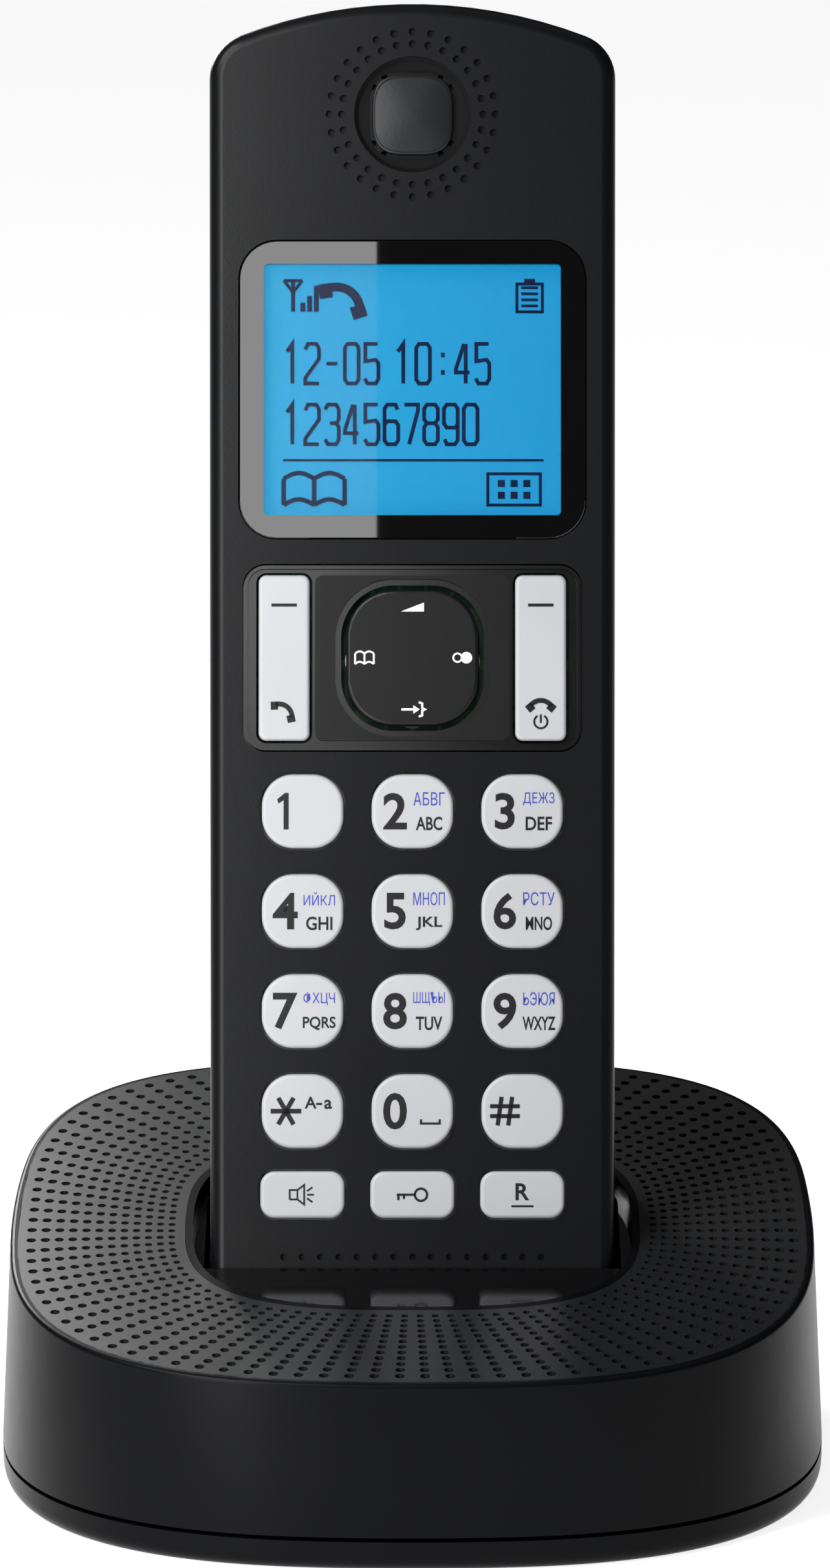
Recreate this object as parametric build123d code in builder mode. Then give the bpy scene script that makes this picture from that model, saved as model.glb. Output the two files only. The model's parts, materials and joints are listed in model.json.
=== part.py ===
"""Cordless phone: a slim handset standing in a low charging base.

Frame: +Z up, +X to the right of someone facing the keys, -Y towards that person.
The origin is on the table, under the middle of the base.  Millimetres and degrees.
"""
from math import cos, pi, radians, sin, tan
import os

from build123d import *

# ---------------------------------------------------------------- driving dimensions
# Base shell
base_width = 97.4              # widest, just above the table
base_depth = 95.0
base_roundness = 2.65          # superellipse exponent of the footprint
base_top_inset = 1.8           # how far the side wall leans in by the reference height
base_top_roundness = 3.3       # superellipse exponent at the reference height
base_reference_height = 40.0   # height at which the top outline is drawn
ring_center_height = 29.4      # height of the sloping top over the origin
ring_slope = 9.0               # the top falls towards the front by this angle
base_wall = 2.0
ring_wall = 2.2
ring_edge_round = 0.5
rim_width = 0.9                # housing's edge left standing round the dotted ring plate
opening_lip_width = 0.9
ring_plate_thickness = 1.0
bottom_cover_height = 3.6
bottom_edge_round = 1.8
seam_gap = 0.5
lip_height = 1.8
lip_thickness = 1.2
lip_clearance = 0.15

# Handset outside
handset_width = 48.0
handset_foot_width = 47.4
handset_thickness = 26.0
handset_lean = 15.0            # leans back from upright
crown_radius = 57.0            # arched top end
crown_corner = 5.5
foot_corner = 5.0
handset_wall = 1.8
parting_depth = 12.0           # front cover's share of the thickness
front_edge_round = 1.6
back_edge_round = 5.0
cover_gap = 0.1                # hairline between front and rear covers

# Cradle
shelf_edge_y = -14.0           # where the gloss shelf meets the handset's face
shelf_length = 11.7            # shelf, from the ring's front lip to the handset
shelf_slope = 15.0
shelf_step = 0.2               # shelf's rear edge under the ring plane
rear_shelf_step = 0.6          # narrow shelf behind the handset, under the ring plane
socket_cut_height = 120.0      # well above everything that the shelf's cutter has to clear
socket_depth = 10.0            # handset's length below the shelf's rear edge
opening_side_gap = 2.0
opening_rear_gap = 7.0
opening_roundness = 3.0
insert_clearance = 0.15
insert_flange_reach = 2.5
insert_flange_thickness = 1.6
socket_clearance = 0.6
socket_wall = 1.3
socket_floor_thickness = 1.8
floor_gap = 0.1                # handset's foot above the cradle floor

# Places along the handset's face, from its foot
mic_height = 11.0
function_row_height = 18.3
zero_row_height = 28.1
row_pitch = 11.75
panel_gap = 18.1               # top number row to the control panel's middle
window_gap = 31.7              # control panel's middle to the window's middle
earpiece_gap = 32.6            # window's middle to the earpiece's middle
earpiece_to_top = 13.3

# Keys
key_pitch = 12.9
key_width = 9.6
key_height = 8.7
key_corner = 3.7
key_rise = 0.7
key_edge_round = 0.45
key_clearance = 0.25
key_flange_reach = 0.7
key_flange_thickness = 0.8
key_flange_gap = 0.1
key_stem_diameter = 3.5
key_travel = 0.6
key_stem_clearance = 0.05
function_key_width = 9.9
function_key_height = 5.5
function_key_corner = 1.7

# Control panel
panel_width = 39.6
panel_height = 21.8
panel_corner = 2.5
panel_clearance = 0.2
panel_flange_reach = 1.4
panel_flange_thickness = 0.8
panel_floor_depth = 0.6        # gloss surface under the face
bar_spot = 15.1
bar_width = 6.0
bar_height = 19.5
bar_corner = 0.9
bar_rise = 0.5
bar_underside = 1.5
bar_plunger_spot = 7.0
bar_plunger_diameter = 2.5
bar_clearance = 0.3
inlay_gap = 0.35               # between the matte inlay and a bar
nav_width = 15.6
nav_height = 16.0
nav_corner = 5.6
nav_rise = 0.4
nav_underside = 1.6
nav_ring = 1.3                 # gloss ring showing round the navigation key
nav_clearance = 0.6
nav_stem_diameter = 4.0
nav_plunger_spot = 6.0
nav_plunger_diameter = 1.6
pivot_outer_diameter = 9.0
pivot_bore_diameter = 5.0
pivot_thickness = 1.0
pivot_depth = 4.5              # gimbal centre under the face

# Display
window_width = 40.9
window_height = 35.3
window_corner = 4.5
window_thickness = 1.2
window_clearance = 0.1
window_ledge = 2.2
window_rise = 0.1
lcd_width = 38.6
lcd_height = 33.2
lcd_thickness = 2.0
lcd_depth = 2.2
lcd_frame_width = 2.4
lcd_corner = 0.5

# Earpiece and microphone
dish_radius = 6.9
dish_depth = 0.9
hub_size = 9.0
hub_corner = 3.3
dot_radii = (8.35, 9.8)
dots_per_ring = 28
dot_diameter = 0.9
dot_depth = 0.8
sound_hole_radius = 5.75
sound_holes = 20
sound_hole_diameter = 0.8
speaker_diameter = 15.0
speaker_thickness = 3.5
speaker_edge_round = 0.5
gasket_width = 1.2
gasket_thickness = 0.8
mic_dots = 15
mic_dot_pitch = 2.16
mic_dot_diameter = 0.8
mic_diameter = 4.0
mic_thickness = 1.6
mic_boot_wall = 0.8

# Inside the handset
board_depth = 6.8
board_thickness = 1.2
board_edge_gap = 0.5
board_foot = 13.5              # board's lower end, clear of the screw bosses
board_top_gap = 5.0
sheet_thickness = 0.8
sheet_hole_diameter = 5.2
sheet_foot_gap = 0.5
sheet_corner = 2.0
dome_diameter = 4.0
dome_thickness = 0.3
shield_width = 26.0
shield_length = 20.0
shield_thickness = 2.4
shield_corner = 0.8
screw_spot_x = 16.5
screw_spot_height = 8.0
screw_diameter = 1.9
screw_head_diameter = 4.4
screw_head_thickness = 1.5
screw_seat_depth = 14.0
screw_tip_depth = 5.0
boss_diameter = 6.0
front_boss_diameter = 5.0
hole_play = 0.1
cross_recess_share = 0.6       # cross recess's length over the screw head's diameter
cross_recess_width = 0.5

# Battery bay
cell_diameter = 10.5
cell_length = 44.5
cell_gap = 0.6
cell_play = 0.5
cell_edge_round = 0.6
bay_wall = 1.2
bay_foot = 31.0                # lower end of the bay's inside
contact_space = 3.0
contact_thickness = 0.4
door_border = 3.2              # door beyond the bay all round
door_corner = 3.0
door_thickness = 1.6
door_clearance = 0.25
door_seat_gap = 0.1
door_seat_reach = 1.6
door_seat_thickness = 1.8
grip_count = 5
grip_pitch = 2.2
grip_width = 14.0
grip_depth = 0.5

# Ringer
ringer_from_top = 38.0
ringer_diameter = 20.0
ringer_thickness = 4.0
grille_radius = 6.0
grille_holes = 10
grille_hole_diameter = 1.6

# Charging contacts
contact_spot = 12.0
plate_width = 6.0
plate_length = 6.0
plate_thickness = 0.5
plate_corner = 0.6
plate_depth = 18.0             # contact line, behind the handset's face
pin_width = 3.0
pin_length = 4.6
pin_height = 5.0
pin_round = 0.9
pin_play = 0.3
pin_gap = 0.05

# Locator button in the cradle floor
locator_diameter = 9.0
locator_depth = 13.0
locator_sink = 1.2             # cap's top under the handset's foot
locator_cap_height = 2.4
locator_flange_reach = 1.0
locator_flange_thickness = 0.8
locator_play = 0.3
locator_stem_diameter = 3.0
locator_stem_length = 1.0

# Inside the base
foot_pad_diameter = 8.0
foot_pad_thickness = 1.0
foot_pad_x = 25.0
foot_pad_y = 35.0
base_screw_x = 34.0
base_screw_y = 27.5
base_boss_diameter = 6.0
base_screw_diameter = 2.5
base_screw_head_diameter = 5.0
base_screw_head_thickness = 1.2
base_screw_length = 9.0
post_diameter = 4.0
post_x = 26.0
post_front_y = -22.0
post_rear_y = 29.0
base_board_height = 4.6
base_board_thickness = 1.2
base_board_half_width = 29.5
base_board_front = -26.0
base_board_rear = 38.0
base_board_corner = 3.0
module_width = 22.0
module_length = 15.0
module_height = 2.6
module_edge_round = 0.4
capacitor_diameter = 8.0
capacitor_height = 11.0
capacitor_edge_round = 0.6
capacitor_side_y = 22.0
switch_size = 6.0
switch_height = 1.6

# Sockets in the back wall
jack_inset = 2.0               # sockets' mouths inside the back wall's outer face
jack_length = 14.0
line_jack_x = 14.0
line_jack_width = 13.0
line_jack_height = 11.5
line_mouth_width = 9.8
line_mouth_height = 6.8
line_mouth_length = 11.0
latch_notch_width = 3.9
latch_notch_height = 2.0
power_jack_x = -15.0
power_jack_width = 9.0
power_jack_height = 11.0
power_bore_diameter = 6.4
power_pin_diameter = 2.0
power_bore_length = 9.5
jack_clearance = 0.3
jack_window_reach = 16.0       # the windows' cutter, across the wall at its thickest

# ---------------------------------------------------------------- worked-out values
lean = radians(handset_lean)
up_y, up_z = sin(lean), cos(lean)
slope = tan(radians(ring_slope))
ring_up = (0, -sin(radians(ring_slope)), cos(radians(ring_slope)))
ring_plane = Plane(origin=(0, 0, ring_center_height), x_dir=(1, 0, 0), z_dir=ring_up)
shelf_edge_z = ring_center_height + shelf_edge_y * slope - shelf_step
foot_y = shelf_edge_y - socket_depth * up_y
foot_z = shelf_edge_z - socket_depth * up_z

# Handset's front face: x across, y along its length, z out of the face
face = Plane(origin=(0, foot_y, foot_z), x_dir=(1, 0, 0), z_dir=(0, -up_z, up_y))
# Handset's foot: x across, y from front to back, z along its length
foot = Plane(origin=(0, foot_y, foot_z), x_dir=(1, 0, 0), z_dir=(0, up_y, up_z))
face_axis = Axis((0, foot_y, foot_z), (0, -up_z, up_y))
foot_axis = Axis((0, foot_y, foot_z), (0, up_y, up_z))

one_row_height = zero_row_height + 3 * row_pitch
panel_middle = one_row_height + panel_gap
window_middle = panel_middle + window_gap
earpiece_middle = window_middle + earpiece_gap
handset_length = earpiece_middle + earpiece_to_top
inner_half_width = handset_foot_width / 2 - handset_wall

key_columns = (-key_pitch, 0.0, key_pitch)
number_rows = [zero_row_height + row * row_pitch for row in range(4)]
number_keys = {
    "key_star": (key_columns[0], number_rows[0]),
    "key_0": (key_columns[1], number_rows[0]),
    "key_hash": (key_columns[2], number_rows[0]),
}
for digit in range(1, 10):
    number_keys[f"key_{digit}"] = (key_columns[(digit - 1) % 3], number_rows[3 - (digit - 1) // 3])
function_keys = {
    "key_speaker": (key_columns[0], function_row_height),
    "key_lock": (key_columns[1], function_row_height),
    "key_recall": (key_columns[2], function_row_height),
}
bar_keys = {"talk_key": -bar_spot, "off_key": bar_spot}
bar_plungers = [
    (spot, panel_middle + side * bar_plunger_spot) for spot in bar_keys.values() for side in (-1, 1)
]
nav_plungers = [
    (nav_plunger_spot, panel_middle),
    (-nav_plunger_spot, panel_middle),
    (0, panel_middle + nav_plunger_spot),
    (0, panel_middle - nav_plunger_spot),
]
dome_spots = list(number_keys.values()) + list(function_keys.values()) + bar_plungers + nav_plungers

key_flange_depth = handset_wall + key_flange_gap
key_stem_end = board_depth - dome_thickness - key_travel - key_stem_clearance

# The handset's back face meets the ring plane here
back_line = (foot_y + handset_thickness * up_z, foot_z - handset_thickness * up_y)
back_rise = (ring_center_height + slope * back_line[0] - back_line[1]) / (up_z - slope * up_y)
back_cross_y = back_line[0] + back_rise * up_y
opening_front_y = shelf_edge_y - shelf_length
opening_rear_y = back_cross_y + opening_rear_gap
opening_middle_y = (opening_front_y + opening_rear_y) / 2
opening_half_depth = (opening_rear_y - opening_front_y) / 2
opening_half_width = handset_width / 2 + opening_side_gap

bay_half_width = cell_diameter + cell_gap / 2 + cell_play
bay_length = cell_length + 2 * contact_space
bay_middle = bay_foot + bay_length / 2
bay_floor_depth = handset_thickness - door_thickness - cell_diameter - 2 * cell_play - door_seat_gap
cell_depth = bay_floor_depth + cell_play + cell_diameter / 2
door_width = 2 * (bay_half_width + door_border)
door_length = bay_length + 2 * door_border
door_recess_depth = handset_thickness - door_thickness - door_seat_gap

board_top = handset_length - handset_wall - board_top_gap
board_half_width = inner_half_width - board_edge_gap
ringer_middle = handset_length - ringer_from_top
base_board_top = base_board_height + base_board_thickness
shell_foot = bottom_cover_height + seam_gap
lip_inset = base_wall + lip_clearance
jack_mouth_y = base_depth / 2 - jack_inset
jack_middle_y = jack_mouth_y - jack_length / 2

parts = {}


def finish_piece(piece, name):
    """Label one finished piece and write its STEP file."""
    piece.part.label = name
    parts[name] = piece.part
    export_step(piece.part, f"parts/{name}.step")


def superellipse(half_x, half_y, exponent, middle_y=0.0, count=32):
    """The face |x/a|^n + |y/b|^n <= 1, its edge one closed spline."""
    corners = []
    for step in range(count):
        angle = 2 * pi * (step + 0.5) / count
        across, along = cos(angle), sin(angle)
        corners.append(
            (
                half_x * abs(across) ** (2 / exponent) * (1 if across > 0 else -1),
                middle_y + half_y * abs(along) ** (2 / exponent) * (1 if along > 0 else -1),
            )
        )
    with BuildSketch(Plane.XY) as outline:
        with BuildLine():
            Spline(*corners, periodic=True)
        make_face()
    return outline.sketch


def handset_outline(inset=0.0):
    """The handset's outline seen from the front, moved in by inset."""
    foot_half = handset_foot_width / 2
    top_half = handset_width / 2
    shoulder = handset_length - crown_radius + (crown_radius**2 - top_half**2) ** 0.5
    with BuildSketch(Plane.XY) as outline:
        with BuildLine():
            Line((-foot_half, 0), (foot_half, 0))
            Line((foot_half, 0), (top_half, shoulder))
            ThreePointArc((top_half, shoulder), (0, handset_length), (-top_half, shoulder))
            Line((-top_half, shoulder), (-foot_half, 0))
        make_face()
        fillet(vertices().group_by(Axis.Y)[0], radius=foot_corner)
        fillet(vertices().group_by(Axis.Y)[-1], radius=crown_corner)
        if inset:
            offset(amount=-inset, mode=Mode.REPLACE)
    return outline.sketch


def rounded_rectangles(width, height, corner, *spots):
    """Draw in the open sketch a rounded rectangle at each (x, y) spot."""
    with Locations(*spots):
        RectangleRounded(width, height, corner)


os.makedirs("parts", exist_ok=True)

# ================================================================ base shell
# The side wall's outer surface, moved in by `inset`: it leans in from the widest line, just
# above the bottom cover, to the reference height.
def wall_block(inset):
    """The closed block inside the side wall's outer surface, moved in by inset."""
    half_x, half_y = base_width / 2 - inset, base_depth / 2 - inset
    with BuildPart() as block:
        with BuildSketch(Plane.XY.offset(shell_foot)):
            add(superellipse(half_x, half_y, base_roundness))
        with BuildSketch(Plane.XY.offset(base_reference_height)):
            add(superellipse(half_x - base_top_inset, half_y - base_top_inset, base_top_roundness))
        loft()
    return block.part


def opening_block(reach):
    """The cradle opening's outline, moved out by reach, extruded through the whole base."""
    half_x, half_y = opening_half_width + reach, opening_half_depth + reach
    with BuildPart() as block:
        with BuildSketch(Plane.XY):
            add(superellipse(half_x, half_y, opening_roundness, opening_middle_y))
        extrude(amount=base_reference_height + ring_wall)
    return block.part


def cover_outline(inset):
    """The bottom cover's outline, moved in by inset."""
    return superellipse(base_width / 2 - inset, base_depth / 2 - inset, base_roundness)


base_screw_spots = [(x, y) for x in (-base_screw_x, base_screw_x) for y in (-base_screw_y, base_screw_y)]
foot_pad_spots = [(x, y) for x in (-foot_pad_x, foot_pad_x) for y in (-foot_pad_y, foot_pad_y)]
post_spots = [(x, y) for x in (-post_x, post_x) for y in (post_front_y, post_rear_y)]

# Inside of the upper housing: everything within the wall and under the ring plate
with BuildPart() as housing_cavity:
    add(wall_block(base_wall))
    split(bisect_by=ring_plane.offset(-ring_wall), keep=Keep.BOTTOM)

with BuildPart() as housing_bosses:
    with BuildSketch(Plane.XY.offset(shell_foot)):
        with Locations(*base_screw_spots):
            Circle(base_boss_diameter / 2)
    extrude(amount=base_reference_height)
    split(bisect_by=ring_plane.offset(-ring_wall / 2), keep=Keep.BOTTOM)

# Plate that carries the dots, let into the housing's sloping top
with BuildPart() as base_top_ring:
    add(wall_block(rim_width))
    split(bisect_by=ring_plane, keep=Keep.BOTTOM)
    split(bisect_by=ring_plane.offset(-ring_plate_thickness), keep=Keep.TOP)
    add(opening_block(opening_lip_width), mode=Mode.SUBTRACT)
finish_piece(base_top_ring, "base_top_ring")

with BuildPart() as base_upper_housing:
    add(wall_block(0))
    split(bisect_by=ring_plane, keep=Keep.BOTTOM)
    fillet(faces().sort_by(Axis.Z)[-1].edges(), radius=ring_edge_round)
    add(housing_cavity.part, mode=Mode.SUBTRACT)
    add(opening_block(0), mode=Mode.SUBTRACT)
    add(housing_bosses.part)
    add(base_top_ring.part, mode=Mode.SUBTRACT)
    # Pilot holes for the screws from below
    with BuildSketch(Plane.XY.offset(shell_foot)):
        with Locations(*base_screw_spots):
            Circle(base_screw_diameter / 2 + hole_play)
    extrude(amount=base_screw_length, mode=Mode.SUBTRACT)
    # Windows for the two sockets' mouths
    for jack_x, jack_width, jack_height in (
        (line_jack_x, line_jack_width, line_jack_height),
        (power_jack_x, power_jack_width, power_jack_height),
    ):
        with BuildSketch(Plane.XY.offset(base_board_top - jack_clearance)):
            with Locations((jack_x, base_depth / 2)):
                Rectangle(jack_width + 2 * jack_clearance, jack_window_reach)
        extrude(amount=jack_height + 2 * jack_clearance, mode=Mode.SUBTRACT)
finish_piece(base_upper_housing, "base_upper_housing")

with BuildPart() as base_bottom_cover:
    with BuildSketch(Plane.XY):
        add(cover_outline(0))
    extrude(amount=bottom_cover_height)
    fillet(faces().sort_by(Axis.Z)[0].edges(), radius=bottom_edge_round)
    with BuildSketch(Plane.XY.offset(base_wall)):
        add(cover_outline(base_wall))
    extrude(amount=base_reference_height, mode=Mode.SUBTRACT)
    # Lip that stands inside the upper housing and closes the seam
    with BuildSketch(Plane.XY.offset(base_wall)):
        add(cover_outline(lip_inset))
        add(cover_outline(lip_inset + lip_thickness), mode=Mode.SUBTRACT)
    extrude(amount=bottom_cover_height + lip_height - base_wall)
    # Posts for the circuit board, and recesses for the foot pads
    with BuildSketch(Plane.XY.offset(base_wall)):
        with Locations(*post_spots):
            Circle(post_diameter / 2)
    extrude(amount=base_board_height - base_wall)
    with BuildSketch(Plane.XY):
        with Locations(*foot_pad_spots):
            Circle(foot_pad_diameter / 2)
    extrude(amount=foot_pad_thickness, mode=Mode.SUBTRACT)
    # Screw holes with counterbores for the heads, in pads that meet the housing's bosses
    with BuildSketch(Plane.XY.offset(base_wall)):
        with Locations(*base_screw_spots):
            Circle(base_boss_diameter / 2)
    extrude(amount=shell_foot - base_wall)
    with Locations(*[(x, y, 0) for x, y in base_screw_spots]):
        Cylinder(
            base_screw_diameter / 2 + hole_play, shell_foot, mode=Mode.SUBTRACT,
            align=(Align.CENTER, Align.CENTER, Align.MIN),
        )
        Cylinder(
            base_screw_head_diameter / 2 + hole_play, base_screw_head_thickness + hole_play,
            mode=Mode.SUBTRACT, align=(Align.CENTER, Align.CENTER, Align.MIN),
        )
finish_piece(base_bottom_cover, "base_bottom_cover")

with BuildPart() as base_screws:
    with BuildSketch(Plane.XY.offset(hole_play)):
        with Locations(*base_screw_spots):
            Circle(base_screw_head_diameter / 2)
    extrude(amount=base_screw_head_thickness)
    with BuildSketch(Plane.XY.offset(hole_play + base_screw_head_thickness)):
        with Locations(*base_screw_spots):
            Circle(base_screw_diameter / 2)
    extrude(amount=base_screw_length)
    # Cross recess in each head
    with BuildSketch(Plane.XY.offset(hole_play)):
        with Locations(*base_screw_spots):
            Rectangle(base_screw_head_diameter * cross_recess_share, cross_recess_width)
            Rectangle(cross_recess_width, base_screw_head_diameter * cross_recess_share)
    extrude(amount=base_screw_head_thickness / 2, mode=Mode.SUBTRACT)
finish_piece(base_screws, "base_screws")

with BuildPart() as base_foot_pads:
    with BuildSketch(Plane.XY):
        with Locations(*foot_pad_spots):
            Circle(foot_pad_diameter / 2 - hole_play)
    extrude(amount=foot_pad_thickness)
finish_piece(base_foot_pads, "base_foot_pads")

# ================================================================ cradle
def socket_block(gap, low, high):
    """The docked handset's cross-section, moved out by gap, between two heights on its foot."""
    with BuildPart() as block:
        with BuildSketch(foot.offset(low)):
            with Locations((0, handset_thickness / 2)):
                Rectangle(handset_width + 2 * gap, handset_thickness + 2 * gap)
            fillet(vertices().group_by(Axis.Y)[0], radius=front_edge_round + gap)
            fillet(vertices().group_by(Axis.Y)[-1], radius=back_edge_round + gap)
        extrude(amount=high - low)
    return block.part


floor_low = -floor_gap - socket_floor_thickness
with BuildPart() as socket_tub:
    add(socket_block(socket_clearance + socket_wall, floor_low, handset_length / 4))
    split(bisect_by=ring_plane.offset(-ring_wall - insert_flange_thickness / 2), keep=Keep.BOTTOM)

# The part of the insert that shows inside the ring: the gloss shelf in front of the handset,
# and a narrow shelf behind it
shelf_rise = shelf_length * tan(radians(shelf_slope))
with BuildPart() as shelf_block:
    add(opening_block(-insert_clearance))
    split(bisect_by=ring_plane.offset(-ring_wall - insert_flange_thickness), keep=Keep.TOP)
    with BuildSketch(Plane.YZ.offset(-base_width)):
        with BuildLine():
            Polyline(
                (opening_front_y - ring_wall, shelf_edge_z - shelf_rise - ring_wall * slope),
                (shelf_edge_y, shelf_edge_z),
                (back_cross_y, ring_center_height + slope * back_cross_y - rear_shelf_step),
                (
                    opening_rear_y + ring_wall,
                    ring_center_height + slope * (opening_rear_y + ring_wall) - rear_shelf_step,
                ),
                (opening_rear_y + ring_wall, socket_cut_height),
                (opening_front_y - ring_wall, socket_cut_height),
                close=True,
            )
        make_face()
    extrude(amount=2 * base_width, mode=Mode.SUBTRACT)
    # Full-width gap that the handset stands in
    with BuildSketch(foot.offset(-socket_depth)):
        with Locations((0, handset_thickness / 2)):
            Rectangle(2 * base_width, handset_thickness + 2 * socket_clearance)
    extrude(amount=handset_length, mode=Mode.SUBTRACT)

locator_spot = (0, locator_depth)
contact_spots = [(-contact_spot, plate_depth), (contact_spot, plate_depth)]
with BuildPart() as cradle_insert:
    add(opening_block(insert_flange_reach))
    split(bisect_by=ring_plane.offset(-ring_wall), keep=Keep.BOTTOM)
    split(bisect_by=ring_plane.offset(-ring_wall - insert_flange_thickness), keep=Keep.TOP)
    add(shelf_block.part)
    add(socket_tub.part)
    add(socket_block(socket_clearance, -floor_gap, handset_length / 4), mode=Mode.SUBTRACT)
    # Holes in the cradle floor for the charging contacts and the locator button
    with BuildSketch(foot.offset(floor_low)):
        with Locations(*contact_spots):
            Rectangle(pin_width + 2 * pin_play, pin_length + 2 * pin_play)
        with Locations(locator_spot):
            Circle(locator_diameter / 2 + locator_play)
    extrude(amount=socket_floor_thickness, mode=Mode.SUBTRACT)
finish_piece(cradle_insert, "cradle_insert")

for name, spot in zip(("charge_contact_left", "charge_contact_right"), contact_spots):
    with BuildPart() as charge_contact:
        with BuildSketch(foot.offset(-pin_gap)):
            with Locations(spot):
                Rectangle(pin_width, pin_length)
        extrude(amount=-pin_height)
        tip = faces().sort_by(foot_axis)[-1]
        fillet(tip.edges().filter_by(Axis.X), radius=pin_round)
    finish_piece(charge_contact, name)

with BuildPart() as locator_button:
    with BuildSketch(foot.offset(-locator_sink)):
        with Locations(locator_spot):
            Circle(locator_diameter / 2)
    extrude(amount=-locator_cap_height)
    fillet(faces().sort_by(foot_axis)[-1].edges(), radius=key_edge_round)
    with BuildSketch(foot.offset(-locator_sink - locator_cap_height)):
        with Locations(locator_spot):
            Circle(locator_diameter / 2 + locator_flange_reach)
    extrude(amount=-locator_flange_thickness)
    with BuildSketch(foot.offset(-locator_sink - locator_cap_height - locator_flange_thickness)):
        with Locations(locator_spot):
            Circle(locator_stem_diameter / 2)
    extrude(amount=-locator_stem_length)
finish_piece(locator_button, "locator_button")

# ================================================================ inside the base
with BuildPart() as base_board:
    with BuildSketch(Plane.XY.offset(base_board_height)):
        with Locations((0, (base_board_front + base_board_rear) / 2)):
            RectangleRounded(2 * base_board_half_width, base_board_rear - base_board_front, base_board_corner)
    extrude(amount=base_board_thickness)
finish_piece(base_board, "base_board")

with BuildPart() as base_radio_module:
    with BuildSketch(Plane.XY.offset(base_board_top)):
        with Locations((-base_board_half_width / 2, base_board_front + module_length)):
            RectangleRounded(module_width, module_length, shield_corner)
    extrude(amount=module_height)
    fillet(faces().sort_by(Axis.Z)[-1].edges(), radius=module_edge_round)
finish_piece(base_radio_module, "base_radio_module")

capacitor_spots = [
    (-capacitor_diameter / 4, base_board_rear - capacitor_diameter),
    (base_board_half_width - capacitor_diameter, capacitor_side_y),
]
with BuildPart() as base_capacitors:
    with BuildSketch(Plane.XY.offset(base_board_top)):
        with Locations(*capacitor_spots):
            Circle(capacitor_diameter / 2)
    extrude(amount=capacitor_height)
    fillet(faces().group_by(Axis.Z)[-1].edges(), radius=capacitor_edge_round)
finish_piece(base_capacitors, "base_capacitors")

# Push switch on the board under the locator button's stem
locator_foot = foot.from_local_coords((0, locator_depth, -locator_sink - locator_cap_height))
with BuildPart() as locator_switch:
    with BuildSketch(Plane.XY.offset(base_board_top)):
        with Locations((0, locator_foot.Y)):
            Rectangle(switch_size, switch_size)
    extrude(amount=switch_height)
finish_piece(locator_switch, "locator_switch")

with BuildPart() as line_jack:
    with BuildSketch(Plane.XY.offset(base_board_top)):
        with Locations((line_jack_x, jack_middle_y)):
            Rectangle(line_jack_width, jack_length)
    extrude(amount=line_jack_height)
    mouth_height = base_board_top + line_jack_height / 2
    with BuildSketch(Plane.XZ.offset(-jack_mouth_y)):
        with Locations((line_jack_x, mouth_height)):
            Rectangle(line_mouth_width, line_mouth_height)
        # Notch for the plug's latch
        with Locations((line_jack_x, mouth_height - line_mouth_height / 2)):
            Rectangle(latch_notch_width, latch_notch_height)
    extrude(amount=line_mouth_length, mode=Mode.SUBTRACT)
finish_piece(line_jack, "line_jack")

with BuildPart() as power_jack:
    with BuildSketch(Plane.XY.offset(base_board_top)):
        with Locations((power_jack_x, jack_middle_y)):
            Rectangle(power_jack_width, jack_length)
    extrude(amount=power_jack_height)
    bore_height = base_board_top + power_jack_height / 2
    with BuildSketch(Plane.XZ.offset(-jack_mouth_y)):
        with Locations((power_jack_x, bore_height)):
            Circle(power_bore_diameter / 2)
            Circle(power_pin_diameter / 2, mode=Mode.SUBTRACT)
    extrude(amount=power_bore_length, mode=Mode.SUBTRACT)
finish_piece(power_jack, "power_jack")

# ================================================================ handset covers
screw_spots = [(x, screw_spot_height) for x in (-screw_spot_x, screw_spot_x)]

with BuildPart() as front_cavity:
    with BuildSketch(face.offset(-handset_wall)):
        add(handset_outline(handset_wall))
    extrude(amount=-parting_depth)

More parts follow.
